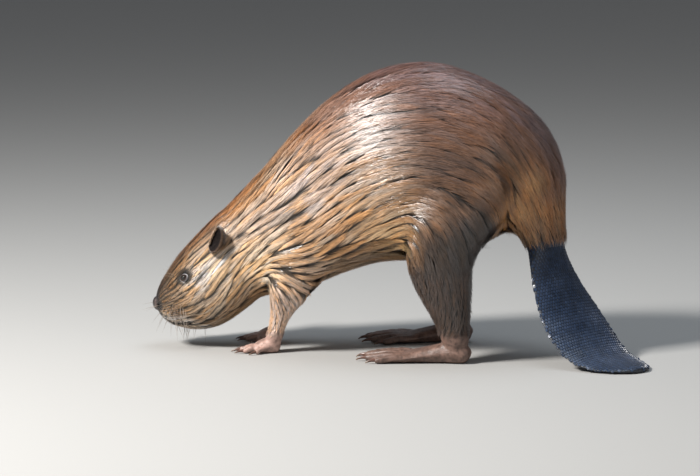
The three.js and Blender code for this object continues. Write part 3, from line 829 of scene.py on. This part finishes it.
edge = np.clip(np.abs(aside) / (0.5 * lock_wide[lock_of]), 0, 1)
eye_gap = np.minimum(gap_to(root, eye_places[0]), gap_to(root, eye_places[1]))
by_eye = ease(0.012, 0.018, eye_gap)
map_place = unwrapped(root, part_of[skin_tris[root_pick, 0]])

PATCH_HALF = 0.0015  # half of a blade's patch on the flat map


def blades(name, spots, sides, outs, halves, colours, patches, sleek=True):
    """Joins thin blades in one piece of the coat.

    Each list holds one array for each station, root to tip: the middle of the blade, its
    sideways and outward ways, half its width and its colour. A blade is a closed three-sided
    sliver, and on the flat map a patch round its root's place. A sleek one is lit as if it
    were a rounded lock.
    """
    rings, count = len(spots) - 1, len(spots[0])
    places, tints, maps, facings = [], [], [], []
    hand = np.where((np.cross(sides[0], spots[-1] - spots[0]) * outs[0]).sum(1) < 0, -1, 1)[:, None]
    sides = [side * hand for side in sides]
    for k in range(rings):
        for across, above in ((-1, 0), (1, 0), (0, 0.24)):
            facings.append(outs[k] + sides[k] * across * 0.8)
            places.append(spots[k] + (sides[k] * across + outs[k] * above) * halves[k][:, None])
            tints.append(colours[k])
            maps.append(patches + PATCH_HALF * np.array([across, 2 * k / rings - 1]))
    places.append(spots[-1])
    tints.append(colours[-1])
    maps.append(patches + np.array([0, PATCH_HALF]))
    facings.append(outs[-1])
    size = 3 * rings + 1
    places, tints, maps, facings = (np.stack(rows, 1).reshape(count * size, -1)
                                    for rows in (places, tints, maps, facings))
    sides_of_ring = ((1, 0), (2, 1), (0, 2))
    quads = [(r + a, r + b, r + 3 + b, r + 3 + a)
             for r in range(0, 3 * rings - 3, 3) for a, b in sides_of_ring]
    caps = [(3 * rings - 3 + a, 3 * rings - 3 + b, 3 * rings) for a, b in sides_of_ring] + [(0, 1, 2)]
    first = np.arange(count)[:, None, None] * size
    corners = np.concatenate([(first + np.array(quads, int).reshape(-1, 4)).reshape(-1),
                              (first + np.array(caps)).reshape(-1)])
    quad_count, cap_count = count * len(quads), count * len(caps)
    starts = np.concatenate([np.arange(quad_count) * 4, quad_count * 4 + np.arange(cap_count) * 3])
    data = bpy.data.meshes.new(name)
    data.vertices.add(len(places))
    data.vertices.foreach_set("co", places.reshape(-1))
    data.loops.add(len(corners))
    data.loops.foreach_set("vertex_index", corners.astype(np.int32))
    data.polygons.add(len(starts))
    data.polygons.foreach_set("loop_start", starts.astype(np.int32))
    data.update(calc_edges=True)
    if sleek:
        data.shade_smooth()
        data.normals_split_custom_set_from_vertices(unit(facings))
    layer = data.uv_layers.new(name="OFBake")
    layer.data.foreach_set("uv", maps[corners].astype(np.float32).reshape(-1))
    made = bpy.data.objects.new(name, data)
    bpy.context.scene.collection.objects.link(made)
    put(made, "tint", "FLOAT_COLOR", tints)
    made.data.materials.append(coat_material)
    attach(made, "root")


def over_skin(points, least):
    """Lifts each point that lies nearer to the skin than its least height."""
    hits = [skin_tree.find_nearest(p) for p in points.tolist()]
    landed, out = (np.array([hit[k] for hit in hits]) for k in (0, 1))
    return points + out * np.maximum(least - ((points - landed) * out).sum(1), 0)[:, None]


def coat_piece(name, chosen, stations):
    """The chosen strands of the coat, bent along their locks."""
    which = lock_of[chosen]
    # nearness to the lock's edge: it lowers a strand and, as painted shade, keeps it dark further along
    margin = edge[chosen] ** 3 * np.clip(strand_gather[chosen] / 0.26, 0.1, 1)
    spots, sides, outs, halves, colours = [], [], [], [], []
    for t in stations:
        run = start_run[chosen] + strand_long[chosen] * t
        spot, out, side = (on_line(table, which, run) for table in (line_places, line_normals, line_sides))
        drawn = 1 - strand_gather[chosen] * t * t * (3 - 2 * t)
        sideways = aside[chosen] * drawn + splay[chosen] * strand_long[chosen] * t
        height = strand_room[chosen] * lift[chosen] * t ** 0.7 * (1 - 0.3 * margin)
        height -= np.minimum(0.0006, 0.25 * strand_room[chosen]) * (1 - t)
        spot = spot + side * sideways[:, None] + rest_off[chosen] * drawn[:, None] + out * height[:, None]
        spots.append(spot if t == 0 else over_skin(spot, 0.6 * height))
        sides.append(side)
        outs.append(out)
        halves.append(strand_wide[chosen] * 0.5 * (0.8 + 0.9 * t - 1.3 * t * t))
        # painted shade: a strand is dark from its root, for longer near a lock's edge, and lighter by the
        # eyes
        pale = ease(0.36 + 0.5 * margin, 0.1 + 0.46 * margin, t)
        pale = pale + (0.6 - pale) * by_eye[chosen] * (pale < 0.6)
        tone = (0.07 + 0.93 * pale) * (1 + 0.07 * lock_tone[chosen] + 0.11 * own_tone[chosen])
        colours.append(strand_tint[chosen] * strand_hue[chosen] * np.clip(tone, 0.05, 2)[:, None])
    blades(name, spots, sides, outs, halves, colours, map_place[chosen])


def fur_material():
    m = Nodes("wet_fur")
    drift = m.cloudy(22.0, 3.0)
    fleck = m.ramp(m.cloudy(260.0, 3.0), [(0.3, 0.9), (0.7, 1.1)])
    colour = m.mix("MULTIPLY", 1.0, m.attribute("tint", "Color"), fleck)
    sunned = m.ramp(drift, [(0.3, (0.85, 0.82, 0.8)), (0.7, (1.15, 1.12, 1.08))])
    colour = m.mix("MULTIPLY", 1.0, colour, sunned)
    rough = m.ramp(drift, [(0.3, 0.32), (0.7, 0.44)])
    m.give(Base_Color=colour, Roughness=rough, Coat_Weight=0.78, Coat_Roughness=0.27)
    return m.made


coat_material = fur_material()
COAT_PIECES = {"coat_head": ("head", "nose"), "coat_brow": ("brow",), "coat_neck": ("neck",),
               "coat_chest": ("chest",), "coat_loins": ("loins",), "coat_rump": ("rump",),
               "coat_tail_root": ("tail_root", "tail_near"), "coat_forelegs": LEG_PARTS[:3],
               "coat_hind_legs": LEG_PARTS[3:]}
root_part = np.array(PLAIN_NAMES)[part_of[skin_tris[root_pick, 0]]]
stray = np.abs((rest_off * tri_normal[root_pick]).sum(1)) > 0.005  # too far above or below its lock's line
root_part[stray] = "none"
root_part[~stray & (eye_gap < 0.027)] = "brow"
PIECE_TRIS = 195000
BLADES = {"coat_head": (0.0, 0.3, 1.0), "coat_brow": (0.0, 0.2, 0.45, 0.7, 1.0)}  # stations, root to tip
for name, parts in COAT_PIECES.items():
    mine = np.nonzero(np.isin(root_part, parts))[0]
    blade = BLADES.get(name, (0.0, 0.4, 1.0))
    faces = 6 * (len(blade) - 2) + 4
    pieces = math.ceil(len(mine) * faces / PIECE_TRIS)
    for k in range(pieces):
        coat_piece(name if pieces == 1 else name + "_" + str(k + 1), mine[k::pieces], blade)


# ------------------------------------------------------------------ nose
# The bare leathery pad of the nose, broad and dark, between the nostrils, with a groove down
# its middle. It is fine pebbled skin, kept wet.
NOSE_SIZE = (0.0100, 0.0160, 0.0124)  # half its depth, width and height


def swell(name, place, segments, rings, half_size, ahead, across, up):
    """A fine ball stretched and turned to three directions, with its corners' places before that."""
    deselect()
    bpy.ops.mesh.primitive_uv_sphere_add(segments=segments, ring_count=rings, radius=1, location=(0, 0, 0))
    made = bpy.context.object
    made.name = name
    unit_places = read_places(made)
    turned = np.stack([unit_places[:, 2], unit_places[:, 1], -unit_places[:, 0]], 1)
    grid = np.stack([ahead, across, up])
    made.data.vertices.foreach_set("co", ((turned * half_size) @ grid + place).reshape(-1))
    bpy.ops.object.shade_smooth()
    return made, turned, grid


def settle(made, places):
    """Writes the corners' places and turns the faces outwards."""
    made.data.vertices.foreach_set("co", places.reshape(-1))
    made.data.update()
    only(made)
    bpy.ops.object.mode_set(mode="EDIT")
    bpy.ops.mesh.select_all(action="SELECT")
    bpy.ops.mesh.normals_make_consistent(inside=False)
    bpy.ops.object.mode_set(mode="OBJECT")


nose_ahead = unit(head_ahead + 0.25 * head_up)
nose_up = unit(np.cross(nose_ahead, head_across))
nose_up = nose_up if nose_up[2] > 0 else -nose_up
nose, ball, grid = swell("nose_pad", nose_place, 72, 44, NOSE_SIZE, nose_ahead, head_across, nose_up)
aside = np.abs(ball[:, 1])
dent = -0.06 * ease(0.0, 0.09, aside) * (ball[:, 0] > 0)
dent -= 0.12 * ease(0.0, 0.5, np.abs(ball[:, 2] + 0.95))
settle(nose, ((ball * (1 + dent)[:, None]) * NOSE_SIZE) @ grid + nose_place + nose_ahead * 0.0017)
put(nose, "wing", "FLOAT", ease(0.85, 0.45, aside))


def nose_material():
    m = Nodes("nose_leather")
    mottle = m.cloudy(160.0, 4.0)
    pad = m.ramp(mottle, [(0.3, (0.014, 0.011, 0.011)), (0.7, (0.036, 0.028, 0.027))])
    wing = m.ramp(mottle, [(0.3, (0.030, 0.022, 0.020)), (0.7, (0.080, 0.056, 0.052))])
    colour = m.mix("MIX", m.attribute("wing"), pad, wing)
    rough = m.ramp(mottle, [(0.2, 0.26), (0.8, 0.42)])
    m.give(Base_Color=colour, Roughness=rough, Normal=m.bump(0.6, 0.0004, m.pebbly(900.0)))
    return m.made


nose.data.materials.append(nose_material())
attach(nose, "root")
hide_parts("nose")


# ------------------------------------------------------------------ eyes
# Small dark glossy eyes set low in the head, each ringed by a pale bare lid that closes over
# the edge of the ball in an almond. The lid's pale blue-grey is partly a painted wet sheen.
EYE_RADIUS = 0.007
IRIS, PUPIL = 0.62, 0.30  # as sines of the angle from the eye's middle
LID_HALF = (0.0050, 0.0043)  # half the opening's length and height
LID_WIDE, LID_THICK = 0.0019, 0.0010


def eye_material():
    m = Nodes("eye")
    rings = m.ramp(m.attribute("gaze"), [
        (PUPIL - 0.03, (0.002, 0.002, 0.002)), (PUPIL + 0.03, (0.020, 0.016, 0.016)),
        (IRIS - 0.04, (0.016, 0.009, 0.006)), (IRIS + 0.05, (0.012, 0.008, 0.007))])
    fibres = m.ramp(m.cloudy(900.0, 3.0), [(0.3, 0.6), (0.7, 1.4)])
    m.give(Base_Color=m.mix("MULTIPLY", 1.0, rings, fibres), Roughness=0.06)
    return m.made


def lid_material():
    m = Nodes("eyelid")
    mottle = m.cloudy(500.0, 4.0)
    # pale blue-grey: the lid's own skin, lightened by a painted wet sheen
    grey = m.ramp(mottle, [(0.3, (0.30, 0.29, 0.32)), (0.7, (0.52, 0.51, 0.55))])
    colour = m.mix("MIX", m.attribute("rim"), (0.05, 0.03, 0.02, 1), grey)
    m.give(Base_Color=colour, Roughness=0.38, Normal=m.bump(0.4, 0.0003, mottle))
    return m.made


def ring_of(name, rows):
    """A closed ring through rows of places, each row once round its own closed section."""
    count, sides = len(rows), len(rows[0])
    faces = [(i * sides + j, (i + 1) % count * sides + j, (i + 1) % count * sides + (j + 1) % sides,
              i * sides + (j + 1) % sides) for i in range(count) for j in range(sides)]
    return mesh_from(name, np.vstack(rows), faces)


eye_finish, lid_finish = eye_material(), lid_material()
for side, centre in zip(("left", "right"), eye_places):
    out = unit(skin_normals[gap_to(places, centre) < 0.013].mean(0))
    along = unit(head_ahead - out * (head_ahead @ out) + 0.1 * head_up)
    along = unit(along - out * (along @ out))
    over = unit(np.cross(out, along))
    over = over if over[2] > 0 else -over
    eyeball, ball, grid = swell("eyeball_" + side, centre, 64, 40, np.full(3, EYE_RADIUS), out, along, over)
    sine = np.sqrt(np.clip(1 - ball[:, 0] ** 2, 0, 1))
    bulge = np.where(ball[:, 0] > 0, 0.045 * ease(0.1, IRIS + 0.08, sine), 0.0)
    settle(eyeball, (ball * (1 + bulge)[:, None] * EYE_RADIUS) @ grid + centre)
    put(eyeball, "gaze", "FLOAT", np.where(ball[:, 0] > 0, sine, 1.0))
    eyeball.data.materials.append(eye_finish)
    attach(eyeball, "root")
    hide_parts("eye_" + side)

    rows, rims = [], []
    for turn in np.linspace(0, 2 * math.pi, 64, endpoint=False):
        corner = 1 + 0.14 * abs(math.cos(turn)) ** 6
        inner = along * LID_HALF[0] * math.cos(turn) * corner + over * LID_HALF[1] * math.sin(turn)
        outer = inner + unit(inner) * LID_WIDE
        on_ball = math.sqrt((EYE_RADIUS * 1.02) ** 2 - inner @ inner)
        hit = skin_tree.ray_cast(Vector(centre + outer + out * 0.03), Vector(-out), 0.04)[0]
        on_skin = (np.array(hit) - centre) @ out if hit else on_ball
        row = []
        for bend in np.linspace(0, 2 * math.pi, 12, endpoint=False):
            share = 0.5 - 0.5 * math.cos(bend)
            height = on_ball * (1 - share) + on_skin * share
            crown = LID_THICK * math.sin(bend) * (1 if bend < math.pi else 1.6)
            row.append(centre + inner * (1 - share) + outer * share + out * (height + crown))
            rims.append(ease(1.0, 0.3, share))
        rows.append(row)
    lid = ring_of("eyelid_" + side, rows)
    settle(lid, read_places(lid))
    bpy.ops.object.shade_smooth()
    put(lid, "rim", "FLOAT", rims)
    lid.data.materials.append(lid_finish)
    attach(lid, "root")


# ------------------------------------------------------------------ ears
# Small round cupped ears of thin skin, dark and nearly bare inside, darkened further to near-black
# by painted shade in the cup, furred on the back, with short hairs standing along the rear rim,
# made pale with a painted highlight.
EAR_HALF = (0.0140, 0.0198)  # half its width and height
EAR_CUP, EAR_WALL = 0.0075, 0.0014
EAR_TURNED, EAR_RAISED = math.radians(38), 0.21


def ear_material():
    m = Nodes("ear_skin")
    mottle = m.cloudy(260.0, 5.0)
    edge_colour = m.ramp(mottle, [(0.3, (0.05, 0.032, 0.026)), (0.7, (0.13, 0.088, 0.074))])
    # the inside: near-black, partly its dark skin and partly painted shade in the cup
    inner_shade_colour = m.ramp(mottle, [(0.3, (0.004, 0.003, 0.003)), (0.7, (0.014, 0.010, 0.009))])
    colour = m.mix("MIX", m.attribute("deep"), edge_colour, inner_shade_colour)
    m.give(Base_Color=colour, Roughness=0.8, Specular_IOR_Level=0.08, Normal=m.bump(0.5, 0.0005, mottle))
    return m.made


def ear_shape(ball):
    """From a ball's places to the ear's: a cup with a thick furred root and a curled front rim."""
    flat = np.sqrt(np.clip(1 - ball[:, 0] ** 2, 0, 1))
    wavy = 1 + 0.03 * np.sin(3 * np.arctan2(ball[:, 2], ball[:, 1]) + 0.6)
    back = ball[:, 1] * EAR_HALF[0] * wavy * (1 - 0.12 * ball[:, 2])
    up = ball[:, 2] * EAR_HALF[1] * wavy
    cup = -EAR_CUP * (1 - flat ** 2) + 0.35 * EAR_CUP * ease(-0.5, -1.0, ball[:, 1]) * flat
    wall = EAR_WALL * ball[:, 0] * (1 + 1.6 * ease(-0.3, -1.0, ball[:, 2]))
    return np.stack([cup + wall + EAR_CUP * 0.4, back, up], 1)


def ear_seeds(lean, turn):
    """Places on the ball that the ear is made from: how far each leans out, and its turn round."""
    flat = np.sqrt(1 - lean ** 2)
    return np.stack([lean, flat * np.cos(turn), flat * np.sin(turn)], 1)


def ear_patches(seeds, aside):
    """Each hair's place on the flat map: an ear has a corner of it to itself."""
    return np.stack([0.8 + 0.09 * aside + 0.08 * seeds[:, 1], 0.17 + 0.15 * seeds[:, 2]], 1)


def ear_hairs(name, foot, way, out, long, rise, halves, colours, patches):
    """Short hairs on or round the ear, each a blade that rises a little off its root."""
    stations = [foot + way * (long * t)[:, None] + out * rise(t) for t in (0, 0.5, 1)]
    spin = unit(np.cross(out, way))
    widths = [np.full(len(foot), half) for half in halves]
    blades(name, stations, [spin] * 3, [out] * 3, widths, colours, patches, sleek=False)


ear_finish = ear_material()
for side, aside in (("left", -1), ("right", 1)):
    centre = np.array(middle("ear_" + side)) - np.array([0, 0, 0.003])
    level = unit(head_ahead * (1, 1, 0))
    outwards = unit(head_across * (1, 1, 0)) * aside
    ear_out = level * math.cos(EAR_TURNED) + outwards * math.sin(EAR_TURNED)
    ear_out = unit(ear_out + np.array([0, 0, EAR_RAISED]))
    ear_up = unit(np.array([0, 0, 0.91]) - level * 0.30 + outwards * 0.28)
    ear_up = unit(ear_up - ear_out * (ear_up @ ear_out))
    ear_back = np.cross(ear_up, ear_out)
    ear_back = ear_back if ear_back @ level < 0 else -ear_back
    ear, ball, grid = swell("ear_" + side, centre, 72, 48, np.ones(3), ear_out, ear_back, ear_up)
    ball = unit(ball)
    settle(ear, ear_shape(ball) @ grid + centre)
    # 1 over the inside of the cup, where painted shade darkens the skin
    put(ear, "deep", "FLOAT", ease(0.35, 0.1, ball[:, 0]))
    ear.data.materials.append(ear_finish)
    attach(ear, "root")
    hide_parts("ear_" + side)

    # short hairs: all over the back of the ear, and standing along its rim
    count, rim_count = 1500, 420
    turn = rng.uniform(0, 2 * math.pi, count)
    on_rim = np.arange(count) < rim_count
    lean = np.where(on_rim, rng.uniform(-0.25, 0.2, count), -rng.uniform(0.1, 1.0, count) ** 0.6)
    seeds = ear_seeds(lean, turn)
    rim_way = unit(seeds * (0, 1, 1)) @ grid
    way = np.where(on_rim[:, None], rim_way * 0.9 + ear_up * 0.4 - ear_out * 0.3,
                   ear_up * 0.8 + ear_back * 0.5 - ear_out * 0.25) + rng.normal(0, 0.14, (count, 3))
    long = rng.uniform(0.003, 0.0055, count)
    # painted highlight: hairs at the rear of the rim are pale grey
    rear = ease(0.1, -0.5, -seeds[:, 1])[:, None] * on_rim[:, None]
    colour = np.array([0.15, 0.085, 0.045]) * (1 - rear) + np.array([0.50, 0.46, 0.43]) * rear
    colour = colour * rng.uniform(0.7, 1.3, count)[:, None]
    ear_hairs("ear_fur_" + side, ear_shape(seeds) @ grid + centre, unit(way), unit(rim_way * 0.4 - ear_out),
              long, lambda t: 0.0012 * t * (1 - 0.4 * t), (0.00038, 0.0003),
              [colour * 0.5, colour, colour * 1.1], ear_patches(seeds, aside))

    # hairs that grow up and back across the front of the opening
    count = 240
    turn = rng.uniform(2.3, 4.1, count)
    seeds = ear_seeds(rng.uniform(0.05, 0.6, count), turn)
    way = unit(ear_up * 0.75 + ear_back * rng.uniform(0.1, 0.6, count)[:, None] + ear_out * 0.35
               + rng.normal(0, 0.1, (count, 3)))
    long = rng.uniform(0.005, 0.009, count)
    colour = np.array([0.30, 0.19, 0.11]) * rng.uniform(0.6, 1.4, count)[:, None]
    ear_hairs("ear_front_" + side, ear_shape(seeds) @ grid + centre, way, np.tile(ear_out, (count, 1)),
              long, lambda t: 0.001 * t, (0.0005, 0.00045),
              [colour * 0.5, colour, colour * 1.2], ear_patches(seeds, aside))

    # longer hairs of the head that rise over the front of the ear's root
    count = 260
    turn = rng.uniform(-0.5, 3.6, count)
    spot = (centre + grid[1] * (EAR_HALF[0] * 1.1 * np.cos(-turn))[:, None]
            + grid[2] * (-EAR_HALF[1] * 0.95 * np.sin(turn))[:, None])
    hits = [skin_tree.find_nearest(p) for p in (spot + grid[0] * 0.006).tolist()]
    foot = np.array([hit[0] for hit in hits]) - ear_out * 0.0005
    out = unit(np.array([hit[1] for hit in hits]))
    way = unit(ear_up * 0.85 - level * 0.45 + out * 0.4 + rng.normal(0, 0.12, (count, 3)))
    long = rng.uniform(0.009, 0.015, count)
    colour = np.array([0.34, 0.20, 0.10]) * rng.uniform(0.7, 1.2, count)[:, None]
    ear_hairs("ear_root_" + side, foot, way, out, long, lambda t: 0.002 * t, (0.00055, 0.0005),
              [colour * 0.3, colour, colour * 1.2], unwrapped(foot, parts_at(foot)))


# ------------------------------------------------------------------ whiskers
# Stiff tapered whiskers in rows on each lip pad, a few under the chin, and two bristles over
# each eye.
WHISKER_SIDES, WHISKER_RINGS = 5, 8


def whisker(root, way, sag, long, thick):
    """Rings of a hair that leaves the skin and droops towards its tip."""
    way, sag = unit(np.array(way)), np.array(sag)
    rows = []
    for k in range(WHISKER_RINGS):
        t = k / (WHISKER_RINGS - 1)
        place = root + way * long * (t - 0.06) + sag * long * t * t
        along = unit(way + 2 * sag * t)
        one = unit(np.cross(along, (0.3, 0.2, 0.93)))
        two = np.cross(along, one)
        size = thick / 2 * (1 - 0.93 * t)
        rows.append([place + size * (one * math.cos(a) + two * math.sin(a))
                     for a in np.linspace(0, 2 * math.pi, WHISKER_SIDES, endpoint=False)])
    return rows


def tubes(name, many):
    """Joins closed tapered tubes in one piece."""
    places, faces = [], []
    for rows in many:
        first, sides = len(places), len(rows[0])
        for row in rows:
            places += row
        for i in range(len(rows) - 1):
            for j in range(sides):
                a, b = first + i * sides + j, first + i * sides + (j + 1) % sides
                faces.append((a, b, b + sides, a + sides))
        faces.append(tuple(first + j for j in reversed(range(sides))))
        faces.append(tuple(first + (len(rows) - 1) * sides + j for j in range(sides)))
    made = mesh_from(name, places, faces)
    settle(made, read_places(made))
    bpy.ops.object.shade_smooth()
    return made


def head_spot(ahead, aside, above):
    """The skin's nearest place to a spot given in the head's own millimetres."""
    spot = nose_place + (head_ahead * ahead + head_across * aside + head_up * above) / 1000
    place, normal, _, _ = skin_tree.find_nearest(Vector(spot))
    return np.array(place), np.array(normal)


# In turn: five rows of six on each lip, nine under the chin, two over the eye.
hairs = []
for side in (-1, 1):
    for row in range(5):
        for k in range(6):
            root, out = head_spot(-10 - 4.5 * k - 1.5 * row, side * (15 + 1.3 * k), -6 - 5 * row - 0.8 * k)
            way = out * 0.9 + head_ahead * rng.uniform(-0.1, 0.5) - head_up * (0.1 + 0.25 * row)
            way = way + rng.normal(0, 0.12, 3)
            hairs.append(whisker(root, way, (0, 0, -0.12), rng.uniform(0.028, 0.046), 0.0009))
    for k in range(9):
        root, out = head_spot(-22 - 4 * k, side * rng.uniform(3, 12), -40)
        way = out * 0.8 + head_ahead * rng.uniform(-0.1, 0.4) + rng.normal(0, 0.15, 3)
        hairs.append(whisker(root, way, (0, 0, -0.1), rng.uniform(0.016, 0.030), 0.0007))
    for k in range(2):
        root, out = head_spot(-42 - 5 * k, side * 25, 26)
        way = out * 0.5 + head_ahead * 0.5 + head_up * 0.6
        hairs.append(whisker(root, way, (0, 0, -0.1), 0.021 - 0.003 * k, 0.0006))
whiskers = tubes("whiskers", hairs)


def whisker_material():
    m = Nodes("whisker")
    band = m.cloudy(40.0, 2.0)
    m.give(Base_Color=m.ramp(band, [(0.35, (0.05, 0.035, 0.03)), (0.65, (0.30, 0.24, 0.19))]),
           Roughness=m.ramp(band, [(0.0, 0.3), (1.0, 0.4)]))
    return m.made


whiskers.data.materials.append(whisker_material())
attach(whiskers, "root")


# ------------------------------------------------------------------ claws
# Hard curved claws of dark reddish horn, five on each foot, growing paler and thinner to
# their points.
CLAW_FULLER = 1.1
CLAW_SUNK = 0.0035  # how far each root runs into its toe


def claw_material():
    m = Nodes("claw_horn")
    grain = m.cloudy(700.0, 4.0)
    colour = m.ramp(m.attribute("reach"), [
        (0.0, (0.15, 0.075, 0.055)), (0.6, (0.075, 0.036, 0.026)), (1.0, (0.20, 0.14, 0.10))])
    colour = m.mix("MULTIPLY", 1.0, colour, m.ramp(grain, [(0.3, 0.7), (0.7, 1.3)]))
    rough = m.ramp(grain, [(0.2, 0.25), (0.8, 0.42)])
    m.give(Base_Color=colour, Roughness=rough, Normal=m.bump(0.35, 0.0002, grain))
    return m.made


# Each claw is rounded off from its solid, and its root is drawn back into the toe.
claw_finish = claw_material()
for foot in ("foreclaw", "hindclaw"):
    for side in ("left", "right"):
        nodes = [foot + "_" + side + "_" + str(k) for k in range(1, 6)]
        places, faces, reaches = [], [], []
        for node in nodes:
            spots, tris = plain_mesh(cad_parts[node])
            centre = spots.mean(0)
            spots = centre + (spots - centre) * CLAW_FULLER
            base = np.array(middle(foot.replace("claw", "foot") + "_" + side))
            away = np.linalg.norm(spots - base, axis=1)
            share = (away - away.min()) / (away.max() - away.min())
            along = unit(spots[share > 0.8].mean(0) - spots[share < 0.3].mean(0))
            spots = spots - along * (CLAW_SUNK * ease(0.0, 0.5, share))[:, None]
            reaches.append(share)
            faces.append(tris + sum(len(p) for p in places))
            places.append(spots)
        claws = mesh_from(foot + "s_" + side, np.vstack(places), np.vstack(faces))
        put(claws, "reach", "FLOAT", np.concatenate(reaches))
        only(claws)
        round_off = claws.modifiers.new("round_off", "SUBSURF")
        round_off.levels = round_off.render_levels = 2
        bpy.ops.object.modifier_apply(modifier="round_off")
        bpy.ops.object.shade_smooth()
        claws.data.materials.append(claw_finish)
        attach(claws, "root")
        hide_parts(*nodes)


# ------------------------------------------------------------------ tail scales
# The flat tail's leather is covered, above and below, in small slate-black scales that overlap
# towards its tip in slanting rows; their blue tint is a painted reflection of sky.
SCALE_LONG, SCALE_WIDE, SCALE_THICK = 0.0064, 0.0052, 0.0005
TAIL_TURNED = math.radians(38)  # how far its width is turned from straight across the body
tail_across = np.array([math.sin(TAIL_TURNED), math.cos(TAIL_TURNED), 0])
row_gap, column_gap = SCALE_LONG * 0.78, SCALE_WIDE * 0.96
FLOOR_GAP = 0.0012  # no scale where the tail lies on the floor
scale_places, scale_faces, scale_tints = [], [], []
corner_turns = [math.radians(a) for a in (0, 52, 128, 180, 232, 308)]


def add_scale(spot, normal, along):
    """One six-sided scale on the tail's skin, its rear edge raised over the next row."""
    forward = unit(along - normal * (along @ normal))
    sideways = np.cross(normal, forward)
    wide = SCALE_WIDE / 2 * rng.uniform(0.97, 1.06)
    long = SCALE_LONG / 2 * rng.uniform(0.95, 1.08)
    low, high = [], []
    for turn in corner_turns:
        offset = forward * math.cos(turn) * long + sideways * math.sin(turn) * wide
        rise = 0.00025 + 0.0005 * (math.cos(turn) * 0.5 + 0.5)
        low.append(spot + offset - normal * 0.0006)
        high.append(spot + offset * 0.86 + normal * rise)
    base = len(scale_places)
    scale_places.extend(low + high + [spot + normal * (0.0005 + SCALE_THICK * 0.4)])
    for k in range(6):
        n = (k + 1) % 6
        scale_faces.append((base + k, base + n, base + 6 + n, base + 6 + k))
        scale_faces.append((base + 6 + k, base + 6 + n, base + 12))
    scale_faces.append(tuple(base + k for k in reversed(range(6))))
    scale_tints.extend([rng.uniform(0.7, 1.3)] * 13)


for row in range(int((spine_run[-1] + 0.08 - tail_start) / row_gap)):
    run = tail_start + row * row_gap
    centre = np.array([np.interp(run, spine_run, spine[:, k]) for k in range(3)])
    along = unit(np.array([np.interp(run, spine_run, spine_way[:, k]) for k in range(3)]))
    centre = centre + along * max(run - spine_run[-1], 0)
    across = unit(tail_across - along * (tail_across @ along))
    out = np.cross(along, across)
    for facing_way, slide, steepest in ((out, across, 0.6), (-out, across, 0.6),
                                        (across, out, 0.8), (-across, out, 0.8)):
        for column in range(-14, 15):
            shift = (column + 0.5 * (row % 2)) * column_gap
            start = centre + slide * shift + facing_way * 0.08
            spot, normal, _, _ = skin_tree.ray_cast(Vector(start), Vector(-facing_way), 0.09)
            if spot is None or normal.dot(Vector(facing_way)) < steepest:
                continue
            if spot[2] < FLOOR_GAP and normal[2] < 0:
                continue
            add_scale(np.array(spot), np.array(normal), along)
scales = mesh_from("tail_scales", scale_places, scale_faces)
put(scales, "shade", "FLOAT", scale_tints)
settle(scales, read_places(scales))


def scale_material():
    m = Nodes("tail_scale")
    drift = m.cloudy(28.0, 5.0)
    shade = m.attribute("shade")
    shade = m.add("CombineColor", {"Red": shade, "Green": shade, "Blue": shade}).outputs[0]
    # slate-black with a blue tint, which is a painted reflection of sky
    colour = m.ramp(drift, [
        (0.3, (0.010, 0.020, 0.044)), (0.6, (0.021, 0.036, 0.072)), (0.8, (0.050, 0.070, 0.115))])
    colour = m.mix("MULTIPLY", 1.0, colour, shade)
    rough = m.ramp(drift, [(0.3, 0.24), (0.8, 0.42)])
    m.give(Base_Color=colour, Roughness=rough, Normal=m.bump(0.3, 0.0002, m.cloudy(1200.0, 3.0)))
    return m.made


scales.data.materials.append(scale_material())
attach(scales, "root")
